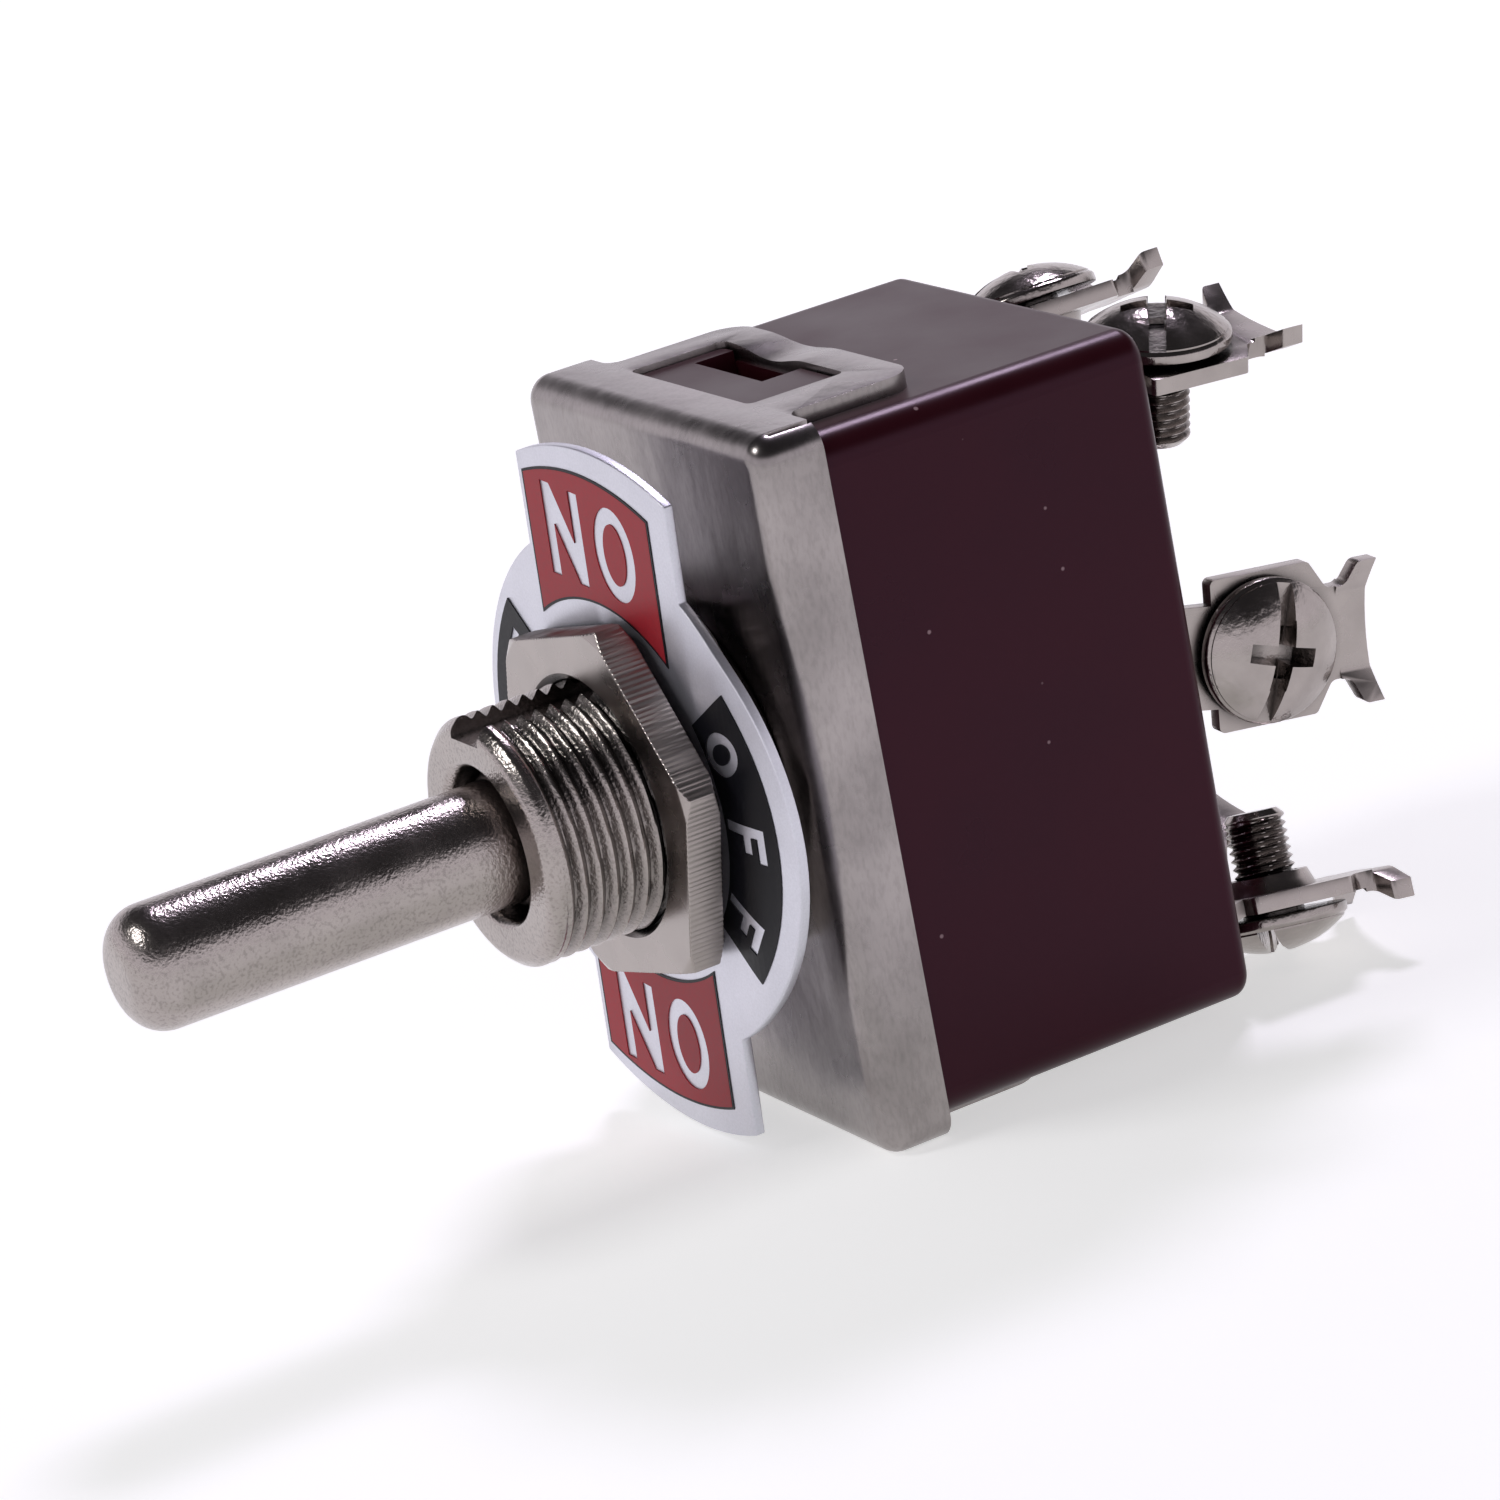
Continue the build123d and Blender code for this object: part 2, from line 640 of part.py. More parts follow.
# Terminals
screw_places = []
for name, side, level, bends, shifts, slot_turn in lugs:
    along = Vector(0, 1, 0)
    if level:
        outward = Vector(0, 0, level)
        foot_point = Vector(side * column, case_rear, level * row)
    else:
        outward = Vector(side, 0, 0)
        foot_point = Vector(side * middle_column, case_rear, 0)
    exit_plane = Plane(origin=foot_point, x_dir=outward.cross(along), z_dir=along)
    root = Plane(origin=foot_point + along * shoulder, x_dir=along, z_dir=outward)
    lug_plane = turned(Plane(root.location * Location(shifts)), *bends)
    neck_plane = Plane(origin=lug_plane.origin, x_dir=lug_plane.y_dir, z_dir=lug_plane.x_dir)
    with BuildPart() as terminal:
        with BuildSketch(neck_plane):
            Rectangle(lug_width, strip)
        extrude(amount=waist_end)
        with BuildSketch(neck_plane.offset(waist_end - waist_radius)):
            with BuildLine():
                prong = lug_width / 2 - prong_start
                FilletPolyline(
                    (-lug_width / 2, prong * tan(radians(prong_turn_angle))),
                    (-prong_start, 0),
                    (prong_start, 0),
                    (lug_width / 2, prong * tan(radians(prong_turn_angle))),
                    radius=prong_bend,
                )
            trace(line_width=strip)
        extrude(amount=tail_length - waist_end + waist_radius)
        with BuildSketch(lug_plane):
            with BuildLine():
                edge = FilletPolyline(
                    (0, 0),
                    (0, lug_width / 2),
                    (lug_body, lug_width / 2),
                    (waist_at, waist_width / 2),
                    (waist_end, waist_width / 2),
                    (tail_start, tail_width / 2),
                    (tail_length, tail_width / 2),
                    radius=[lug_corner, lug_corner, waist_radius, waist_radius, lug_corner],
                )
                ThreePointArc(edge @ 1, (tail_length - tail_dip, 0), (tail_length, -tail_width / 2))
                mirror(edge, about=Plane.XZ)
            make_face()
        extrude(amount=lug_width, both=True, mode=Mode.INTERSECT)
        with BuildSketch(exit_plane):
            Rectangle(neck_width, strip)
        with BuildSketch(neck_plane):
            Rectangle(neck_width, strip)
        loft()
        if level:
            with BuildSketch(Plane.YZ.offset(side * column)):
                with Locations(((foot_front + case_rear) / 2, level * row)):
                    Rectangle(case_rear - foot_front, strip)
                foot_length = row + strip / 2 - foot_end
                with Locations((case_floor - strip / 2, level * (foot_end + foot_length / 2))):
                    Rectangle(strip, foot_length)
            extrude(amount=neck_width / 2, both=True)
        else:
            outer_face = middle_column + strip / 2
            inner_face = column - inner_ear - strip / 2
            with BuildSketch(Plane.XY):
                with Locations((side * middle_column, (foot_front + case_rear) / 2)):
                    Rectangle(strip, case_rear - foot_front)
            extrude(amount=neck_width / 2, both=True)
            with BuildSketch(Plane.XY):
                with Locations((side * (outer_face + inner_face) / 2, case_floor - strip / 2)):
                    Rectangle(outer_face - inner_face, strip)
                ear_front = rocker_pivot - ear_top
                for ear in (middle_column, column - inner_ear):
                    with Locations((side * ear, (ear_front + case_floor) / 2)):
                        Rectangle(strip, case_floor - ear_front)
            extrude(amount=ear_half_width, both=True)
            with BuildSketch(Plane.YZ.offset(side * column)):
                with Locations((rocker_pivot, 0)):
                    Circle(rocker_roll_radius + roll_play)
                with Locations((ear_front, 0)):
                    Rectangle(2 * ear_top, 2 * (rocker_roll_radius + roll_play))
            extrude(amount=cavity_half_width, both=True, mode=Mode.SUBTRACT)
        with BuildSketch(lug_plane.offset(-strip / 2)):
            with Locations((hole_at, 0)):
                Circle(collar_radius)
        extrude(amount=-collar_height, taper=collar_taper_angle)
        with BuildSketch(lug_plane):
            with Locations((hole_at, 0)):
                Circle(hole_radius)
        extrude(amount=lug_width, both=True, mode=Mode.SUBTRACT)
    save(terminal, name)
    head_seat = Location((hole_at, 0, strip / 2 + screw_lift), (0, 0, slot_turn))
    screw_places.append(Location(lug_plane) * head_seat)

# Terminal screws: domed heads with a slot and a cross recess
with BuildPart() as screw:
    with BuildSketch(Plane.XZ):
        with BuildLine():
            Polyline(
                (0, head_height),
                (0, -screw_length),
                (screw_radius - screw_point, -screw_length),
                (screw_radius, -screw_length + screw_point),
                (screw_radius, 0),
                (head_radius, 0),
                (head_radius, head_rim),
            )
            dome = (head_radius**2 + (head_height - head_rim) ** 2) / (2 * (head_height - head_rim))
            RadiusArc((head_radius, head_rim), (0, head_height), -dome)
        make_face()
    revolve(axis=Axis.Z)
    with BuildSketch(Plane.XY.offset(head_height)):
        Rectangle(slot_width, 2 * head_radius)
    extrude(amount=-slot_depth, mode=Mode.SUBTRACT)
    with BuildSketch(Plane.XY.offset(head_height)):
        Rectangle(cross_length, slot_width)
        Rectangle(slot_width, cross_length)
    extrude(amount=-cross_depth, taper=8, mode=Mode.SUBTRACT)

with BuildPart() as terminal_screws:
    with Locations(*screw_places):
        add(screw.part)
save(terminal_screws, "terminal_screws")
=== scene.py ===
import math

import bmesh
import bpy
from mathutils import Matrix, Vector


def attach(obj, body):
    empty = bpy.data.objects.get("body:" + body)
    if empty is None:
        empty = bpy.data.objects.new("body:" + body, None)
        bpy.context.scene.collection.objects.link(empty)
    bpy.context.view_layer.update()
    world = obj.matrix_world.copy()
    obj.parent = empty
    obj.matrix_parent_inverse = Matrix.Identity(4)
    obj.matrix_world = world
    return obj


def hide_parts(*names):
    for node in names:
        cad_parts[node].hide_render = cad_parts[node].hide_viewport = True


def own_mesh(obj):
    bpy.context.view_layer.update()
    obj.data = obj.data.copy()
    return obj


bl_info = {
    "name": "Panel Toggle Switch",
    "version": (1, 0, 0),
    "blender": (4, 5, 0),
    "location": "View3D > Sidebar > Switch",
    "description": "Dresses the CAD frame of a panel toggle switch with threads, print, plating and a stage",
    "category": "Add Mesh",
}

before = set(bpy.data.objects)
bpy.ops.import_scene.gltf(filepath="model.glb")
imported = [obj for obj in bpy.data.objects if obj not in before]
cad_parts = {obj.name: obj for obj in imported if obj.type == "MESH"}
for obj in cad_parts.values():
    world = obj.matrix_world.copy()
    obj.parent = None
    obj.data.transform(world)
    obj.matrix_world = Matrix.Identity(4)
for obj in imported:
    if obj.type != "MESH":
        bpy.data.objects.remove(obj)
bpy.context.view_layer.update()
MM = 0.001
WELD = 1e-7


def colour(text):
    """An sRGB hex value as Blender's linear colour."""
    parts = [int(text[i:i + 2], 16) / 255 for i in (0, 2, 4)]
    return [c / 12.92 if c <= 0.04045 else ((c + 0.055) / 1.055) ** 2.4 for c in parts]


def add(tree, kind, settings=(), inputs=()):
    """Adds a node, with its settings and with its inputs filled by values or by other nodes' outputs."""
    made = tree.nodes.new(kind)
    for name, value in dict(settings).items():
        setattr(made, name, value)
    for name, value in dict(inputs).items():
        if isinstance(value, bpy.types.NodeSocket):
            tree.links.new(value, made.inputs[name])
        else:
            made.inputs[name].default_value = value
    return made


def maths(tree, operation, first, second=0.0, third=0.0):
    """Adds a Math node and gives its output."""
    values = {0: first, 1: second, 2: third}
    return add(tree, "ShaderNodeMath", {"operation": operation}, values).outputs[0]


# ---------------------------------------------------------------- sizes and colours

def length(name, description, value):
    return bpy.props.FloatProperty(name=name, description=description, default=value * MM, unit="LENGTH",
                                   precision=5)


def tint(name, description, text):
    return bpy.props.FloatVectorProperty(name=name, description=description, default=colour(text),
                                         subtype="COLOR", size=3, min=0.0, max=1.0)


class SwitchSizes(bpy.types.PropertyGroup):
    bushing_pitch: length("Bushing pitch", "Distance between the bushing's thread crests", 0.794)
    bushing_depth: length("Bushing thread depth", "How deep the bushing's thread is cut", 0.4)
    screw_pitch: length("Screw pitch", "Distance between the terminal screws' thread crests", 0.4)
    screw_depth: length("Screw thread depth", "How deep the screws' thread is cut", 0.23)
    nut_flats: length("Nut width", "Width of the nuts across two flats", 16.2)
    edge: length("Edge rounding", "How far the edges of stamped sheet are rounded", 0.07)
    stroke: length("Letter stroke", "Width of the large letters' strokes", 0.8)
    border: length("Field border", "Width of the thin black line around the red fields", 0.13)


class SwitchColours(bpy.types.PropertyGroup):
    nickel: tint("Nickel", "Nickel plating on turned and headed pieces", "aea6a2")
    sheet: tint("Nickelled sheet", "Nickel plating on the folded bracket", "a8a1a0")
    phenolic: tint("Phenolic", "Moulded phenolic of the case", "360f17")
    aluminium: tint("Aluminium", "Sheet of the indicator plate", "d9d9e2")
    red: tint("Red ink", "Screen ink of the ON fields", "ad2f38")
    black: tint("Black ink", "Screen ink of the OFF fields", "17171c")


# ---------------------------------------------------------------- shapes

def to_mesh(name, shape):
    bmesh.ops.remove_doubles(shape, verts=shape.verts, dist=WELD)
    bmesh.ops.recalc_face_normals(shape, faces=shape.faces)
    mesh = bpy.data.meshes.new(name)
    shape.to_mesh(mesh)
    shape.free()
    return mesh


def turned(name, section, steps=128, start=0.0, closed=True):
    """A solid around the Y axis. section(angle) gives its (radius, y) points in mm, as many at each angle."""
    shape = bmesh.new()
    rings = []
    for step in range(steps):
        angle = start + math.tau * step / steps
        rings.append([shape.verts.new(Vector((r * math.cos(angle), y, r * math.sin(angle))) * MM)
                      for r, y in section(angle)])
    for step, ring in enumerate(rings):
        after = rings[(step + 1) % steps]
        for i in range(len(ring) if closed else len(ring) - 1):
            j = (i + 1) % len(ring)
            shape.faces.new((ring[i], ring[j], after[j], after[i]))
    return to_mesh(name, shape)


def rounded(points, corners, steps=5):
    """The polyline with a smooth curve of about that size at each named corner."""
    result = []
    for i, point in enumerate(points):
        if i not in corners:
            result.append(point)
            continue
        here, size = Vector(point), corners[i]
        before = here + (Vector(points[i - 1]) - here).normalized() * size
        after = here + (Vector(points[(i + 1) % len(points)]) - here).normalized() * size
        for step in range(steps + 1):
            t = step / steps
            result.append(tuple((1 - t) ** 2 * before + 2 * t * (1 - t) * here + t * t * after))
    return result


def spaced(start, end, count):
    """Points from start up to end, without end."""
    return [tuple(Vector(start).lerp(Vector(end), i / count)) for i in range(count)]


def arc(centre, radius, start, end, count):
    return [(centre[0] + radius * math.cos(math.radians(start + (end - start) * i / count)),
             centre[1] + radius * math.sin(math.radians(start + (end - start) * i / count)))
            for i in range(count + 1)]


def block(name, low, high):
    """A plain cutter from its lowest to its highest corner, in mm."""
    shape = bmesh.new()
    bmesh.ops.create_cube(shape, size=MM)
    middle, size = (Vector(low) + Vector(high)) / 2, Vector(high) - Vector(low)
    bmesh.ops.scale(shape, vec=size, verts=shape.verts)
    bmesh.ops.translate(shape, vec=middle * MM, verts=shape.verts)
    return to_mesh(name, shape)


def rod(name, radius, half, centre):
    """A round cutter along the X axis, in mm."""
    shape = bmesh.new()
    place = Matrix.Translation(Vector(centre) * MM) @ Matrix.Rotation(math.pi / 2, 4, "Y")
    bmesh.ops.create_cone(shape, cap_ends=True, segments=48, radius1=radius * MM, radius2=radius * MM,
                          depth=2 * half * MM, matrix=place)
    return to_mesh(name, shape)


def stand(mesh):
    made = bpy.data.objects.new(mesh.name, mesh)
    bpy.context.scene.collection.objects.link(made)
    return made


def bake(piece):
    """Turns what the modifiers give into the piece's own plain mesh."""
    graph = bpy.context.evaluated_depsgraph_get()
    mesh = bpy.data.meshes.new_from_object(piece.evaluated_get(graph))
    mesh.name = piece.name
    piece.modifiers.clear()
    piece.data = mesh
    return piece


def cut(piece, meshes):
    """Takes each closed mesh out of the piece."""
    for mesh in meshes:
        cutter = stand(mesh)
        modifier = piece.modifiers.new("cut", "BOOLEAN")
        modifier.operation = "DIFFERENCE"
        modifier.solver = "EXACT"
        modifier.object = cutter
        bake(piece)
        bpy.data.objects.remove(cutter)
    return piece


def soften(piece, width, angle=35):
    """Rounds the edges that are sharper than the angle."""
    modifier = piece.modifiers.new("soften", "BEVEL")
    modifier.width = width
    modifier.segments = 3
    modifier.limit_method = "ANGLE"
    modifier.angle_limit = math.radians(angle)
    modifier.use_clamp_overlap = True
    return bake(piece)


def shade(piece, angle=35):
    piece.data.shade_smooth()
    piece.data.set_sharp_from_angle(angle=math.radians(angle))
    return piece


def copied(node, name):
    """The CAD node's shape as one joined mesh."""
    shape = bmesh.new()
    shape.from_mesh(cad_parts[node].data)
    bmesh.ops.remove_doubles(shape, verts=shape.verts, dist=WELD)
    bmesh.ops.dissolve_limit(shape, angle_limit=math.radians(0.5), verts=shape.verts, edges=shape.edges)
    mesh = bpy.data.meshes.new(name)
    shape.to_mesh(mesh)
    shape.free()
    return stand(mesh)


def settle(piece, material, body, slot, *nodes):
    """Gives the finished piece its material and its CAD body, and hides the CAD nodes that it stands for. The
    slot is not used.
    """
    piece.data.materials.clear()
    piece.data.materials.append(material)
    for face in piece.data.polygons:
        face.material_index = 0
    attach(piece, body)
    if nodes:
        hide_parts(*nodes)
    return piece


# ---------------------------------------------------------------- geometry node trees

def tree_with(name, sockets):
    """An empty node group for a modifier, with its named inputs and their defaults."""
    tree = bpy.data.node_groups.new(name, "GeometryNodeTree")
    tree.interface.new_socket("Geometry", in_out="INPUT", socket_type="NodeSocketGeometry")
    for label, kind, value in sockets:
        socket = tree.interface.new_socket(label, in_out="INPUT", socket_type=kind)
        if value is not None:
            socket.default_value = value
    tree.interface.new_socket("Geometry", in_out="OUTPUT", socket_type="NodeSocketGeometry")
    return tree


def run_tree(piece, tree, values):
    """Runs the tree on the piece with its inputs set, and keeps the result as a plain mesh."""
    modifier = piece.modifiers.new(tree.name, "NODES")
    modifier.node_group = tree
    for item in tree.interface.items_tree:
        if item.in_out == "INPUT" and item.name in values:
            modifier[item.identifier] = values[item.name]
    return bake(piece)


def thread_tree():
    """Cuts a screw thread into the outer wall of a solid that stands around the Y axis."""
    tree = bpy.data.node_groups.get("Cut thread")
    if tree:
        return tree
    tree = tree_with("Cut thread", [
        ("Radius", "NodeSocketFloat", 6 * MM), ("Pitch", "NodeSocketFloat", 0.8 * MM),
        ("Depth", "NodeSocketFloat", 0.4 * MM), ("First", "NodeSocketFloat", -10 * MM),
        ("Last", "NodeSocketFloat", 0.0), ("Run out", "NodeSocketFloat", 0.5 * MM),
        ("Finish", "NodeSocketMaterial", None)])
    given = add(tree, "NodeGroupInput").outputs
    place = add(tree, "GeometryNodeInputPosition").outputs[0]
    parts = add(tree, "ShaderNodeSeparateXYZ", inputs={0: place}).outputs

    def calculate(operation, *values):
        return maths(tree, operation, *values)

    radius = calculate("SQRT", calculate("ADD", calculate("MULTIPLY", parts["X"], parts["X"]),
                                         calculate("MULTIPLY", parts["Z"], parts["Z"])))
    turn = calculate("DIVIDE", calculate("ARCTAN2", parts["Z"], parts["X"]), math.tau)
    phase = calculate("FRACT", calculate("ADD", calculate("DIVIDE", parts["Y"], given["Pitch"]), turn))
    # 0 on the crest and 1 at the root, with both a little rounded
    wave = calculate("ABSOLUTE", calculate("MULTIPLY_ADD", phase, 2.0, -1.0))
    groove = add(tree, "ShaderNodeMapRange", {"interpolation_type": "SMOOTHSTEP"},
                 {"Value": wave, "From Min": 0.02, "From Max": 0.98}).outputs[0]
    groove = calculate("ADD", calculate("MULTIPLY", groove, 0.5), calculate("MULTIPLY", wave, 0.5))
    rise = add(tree, "ShaderNodeMapRange", {}, {
        "Value": parts["Y"], "From Min": given["First"],
        "From Max": calculate("ADD", given["First"], given["Run out"])}).outputs[0]
    fall = add(tree, "ShaderNodeMapRange", {}, {
        "Value": parts["Y"], "From Min": given["Last"],
        "From Max": calculate("SUBTRACT", given["Last"], given["Run out"])}).outputs[0]
    outside = calculate("GREATER_THAN", radius, calculate("MULTIPLY", given["Radius"], 0.995))
    amount = calculate("MULTIPLY", calculate("MULTIPLY", groove, given["Depth"]),
                       calculate("MULTIPLY", outside, calculate("MULTIPLY", rise, fall)))
    share = calculate("DIVIDE", amount, radius)
    inward = add(tree, "ShaderNodeVectorMath", {"operation": "SCALE"}, {
        0: add(tree, "ShaderNodeVectorMath", {"operation": "MULTIPLY"},
               {0: place, 1: (-1.0, 0.0, -1.0)}).outputs[0],
        "Scale": share}).outputs[0]
    moved = add(tree, "GeometryNodeSetPosition", inputs={"Geometry": given["Geometry"], "Offset": inward})
    painted = add(tree, "GeometryNodeSetMaterial", inputs={"Geometry": moved.outputs[0],
                                                           "Material": given["Finish"]})
    add(tree, "NodeGroupOutput", inputs={"Geometry": painted.outputs[0]})
    return tree


def placing_tree():
    """Puts one finished screw on each point, turned as the point's attribute says."""
    tree = tree_with("Place screws", [("Screw", "NodeSocketObject", None),
                                      ("Finish", "NodeSocketMaterial", None)])
    given = add(tree, "NodeGroupInput").outputs
    screw = add(tree, "GeometryNodeObjectInfo", inputs={"Object": given["Screw"]})
    turn = add(tree, "GeometryNodeInputNamedAttribute", {"data_type": "FLOAT_VECTOR"}, {"Name": "turn"})
    angles = add(tree, "FunctionNodeEulerToRotation", inputs={0: turn.outputs[0]})
    placed = add(tree, "GeometryNodeInstanceOnPoints", inputs={
        "Points": given["Geometry"], "Instance": screw.outputs["Geometry"], "Rotation": angles.outputs[0]})
    real = add(tree, "GeometryNodeRealizeInstances", inputs={"Geometry": placed.outputs[0]})
    painted = add(tree, "GeometryNodeSetMaterial", inputs={"Geometry": real.outputs[0],
                                                           "Material": given["Finish"]})
    add(tree, "NodeGroupOutput", inputs={"Geometry": painted.outputs[0]})
    return tree


# ---------------------------------------------------------------- materials

def finish(name, **sockets):
    """A new material with its shader's sockets set. Gives the material, its node tree and the shader."""
    made = bpy.data.materials.new(name)
    made.use_nodes = True
    tree = made.node_tree
    tree.nodes.clear()
    shader = add(tree, "ShaderNodeBsdfPrincipled")
    for key, value in sockets.items():
        shader.inputs[key.replace("_", " ")].default_value = value
    add(tree, "ShaderNodeOutputMaterial", inputs={"Surface": shader.outputs[0]})
    return made, tree, shader


def grain(tree, per_mm, stretch=(1, 1, 1), detail=3.0, turn=(0, 0, 0)):
    """Noise on the object's own coordinates. per_mm is how many grains fit in a millimetre."""
    place = add(tree, "ShaderNodeTexCoord").outputs["Object"]
    mapped = add(tree, "ShaderNodeMapping", inputs={
        "Vector": place, "Scale": [per_mm / MM * s for s in stretch], "Rotation": turn}).outputs[0]
    return add(tree, "ShaderNodeTexNoise", inputs={
        "Vector": mapped, "Scale": 1.0, "Detail": detail}).outputs[0]


def vary(tree, value, low, high, start=0.3, end=0.7):
    """Carries a value's range from start to end over to low to high. Noise stays mostly in 0.3 to 0.7."""
    return add(tree, "ShaderNodeMapRange", {}, {"Value": value, "From Min": start, "From Max": end,
                                                "To Min": low, "To Max": high}).outputs[0]


def blend_colours(tree, factor, first, second):
    return add(tree, "ShaderNodeMix", {"data_type": "RGBA"}, {
        0: factor, 6: (*first, 1.0), 7: (*second, 1.0)}).outputs[2]


def bump(tree, shader, height, depth_mm, strength=1.0, normal=None):
    inputs = {"Height": height, "Distance": depth_mm * MM, "Strength": strength}
    if normal:
        inputs["Normal"] = normal
    made = add(tree, "ShaderNodeBump", inputs=inputs).outputs[0]
    tree.links.new(made, shader.inputs["Normal"])
    return made


def darker(tone, share):
    return [c * share for c in tone]


def dulled(tree, tone, value):
    """The colour times a value, both from other nodes: it lays on the dark pits, and the painted shade in
    recesses.
    """
    return add(tree, "ShaderNodeMix", {"data_type": "RGBA", "blend_type": "MULTIPLY"}, {
        0: 1.0, 6: tone, 7: value}).outputs[2]


def tone_by(tree, shader, factor, tone, share, recess=None, pits=None):
    """Base colour between a tone and its darker share. Given a depth in mm, painted shade from ambient
    occlusion darkens it in threads and corners, and given a noise, it is darker where the noise is low."""
    mixed = blend_colours(tree, vary(tree, factor, 0.0, 1.0), darker(tone, share), tone)
    if pits:
        mixed = dulled(tree, mixed, vary(tree, pits, 0.78, 1.0, 0.34, 0.5))
    # Painted shade: ambient occlusion darkens the base colour in threads, slots and corners.
    if recess:
        air = add(tree, "ShaderNodeAmbientOcclusion", {"samples": 6}, {"Distance": recess * MM}).outputs["AO"]
        mixed = dulled(tree, mixed, vary(tree, air, 0.12, 1.0, 0.32, 0.95))
    tree.links.new(mixed, shader.inputs["Base Color"])


def nickel_turned():
    # Bright nickel on turned brass: a warm grey mirror, broken by fine turning rings and a grain of dark
    # pores. Real pores are finer: these are drawn as coarse as they need to show.
    tones = bpy.context.scene.switch_colours
    made, tree, shader = finish("Nickel plate on turned brass", Metallic=1.0, Roughness=0.2)
    pores = grain(tree, 6.0, detail=2.0)
    patches = grain(tree, 0.35, detail=4.0)
    # The 0.8 is the reach in mm of painted shade that darkens the base colour in threads and corners.
    tone_by(tree, shader, patches, tones.nickel, 0.86, 0.8, pores)
    tree.links.new(vary(tree, patches, 0.16, 0.28), shader.inputs["Roughness"])
    rings = bump(tree, shader, grain(tree, 6.0, stretch=(0.02, 1, 0.02)), 0.004, 0.35)
    bump(tree, shader, pores, 0.034, 0.8, rings)
    return made


def nickel_headed():
    # Nickel on cold-headed steel: bright and smooth, with faint dimples left by the heading die.
    tones = bpy.context.scene.switch_colours
    made, tree, shader = finish("Nickel plate on headed steel", Metallic=1.0, Roughness=0.2)
    patches = grain(tree, 0.6, detail=4.0)
    dimples = grain(tree, 2.5, detail=4.0)
    # The second 0.8 is the reach in mm of painted shade that darkens the base colour in slots, threads and
    # corners.
    tone_by(tree, shader, patches, tones.nickel, 0.8, 0.8)
    tree.links.new(vary(tree, patches, 0.12, 0.26), shader.inputs["Roughness"])
    bump(tree, shader, dimples, 0.05, 0.7)
    return made


def nickel_bar():
    # Nickel on nuts cut from drawn hexagon bar: the flats keep close lines along the bar.
    tones = bpy.context.scene.switch_colours
    made, tree, shader = finish("Nickel plate on drawn hexagon bar", Metallic=1.0, Roughness=0.24)
    patches = grain(tree, 0.4, detail=3.0)
    # The 0.8 is the reach in mm of painted shade that darkens the base colour in bores and corners.
    tone_by(tree, shader, patches, tones.nickel, 0.86, 0.8)
    # The lines belong to the side faces, whose normals stand square to the Y axis.
    facing = add(tree, "ShaderNodeSeparateXYZ", inputs={
        0: add(tree, "ShaderNodeTexCoord").outputs["Normal"]}).outputs["Y"]
    side = vary(tree, maths(tree, "ABSOLUTE", facing), 1.0, 0.0, 0.1, 0.5)
    rough = maths(tree, "MULTIPLY_ADD", side, 0.15, vary(tree, patches, 0.22, 0.34))
    tree.links.new(rough, shader.inputs["Roughness"])
    lines = grain(tree, 3.5, stretch=(1, 0.04, 1), detail=1.0)
    bump(tree, shader, maths(tree, "MULTIPLY", lines, side), 0.04, 0.6)
    return made


def nickel_sheet():
    # Nickel on folded steel sheet: satin, with long polishing lines, soft stains and ripples that break up
    # what it mirrors. The lines are drawn coarser than real ones, so that they show.
    tones = bpy.context.scene.switch_colours
    made, tree, shader = finish("Nickel plate on folded steel sheet", Metallic=1.0, Roughness=0.28)
    clouds = grain(tree, 0.2, detail=4.0)
    specks = vary(tree, grain(tree, 5.0, stretch=(1, 1, 0.4), detail=4.0), 0.4, 0.55)
    tone_by(tree, shader, clouds, tones.sheet, 0.66, pits=specks)
    lines = grain(tree, 4.0, stretch=(1, 1, 0.06), detail=2.0)
    tree.links.new(vary(tree, clouds, 0.22, 0.36), shader.inputs["Roughness"])
    first = bump(tree, shader, lines, 0.002, 0.5)
    ripples = grain(tree, 0.26, stretch=(1, 1, 0.45), detail=3.0, turn=(0, 0.5, 0))
    bump(tree, shader, ripples, 0.13, 0.8, first)
    return made


def nickel_strip():
    # Nickel on blanked brass strip, for the lugs: smooth and a little cooler, with small handling dents.
    tones = bpy.context.scene.switch_colours
    made, tree, shader = finish("Nickel plate on blanked brass strip", Metallic=1.0, Roughness=0.24)
    patches = grain(tree, 0.5, detail=3.0)
    # The 0.8 is the reach in mm of painted shade that darkens the base colour in corners and folds.
    tone_by(tree, shader, patches, tones.nickel, 0.82, 0.8)
    tree.links.new(vary(tree, patches, 0.2, 0.32), shader.inputs["Roughness"])
    bump(tree, shader, grain(tree, 1.2, detail=2.0), 0.015, 0.4)
    return made


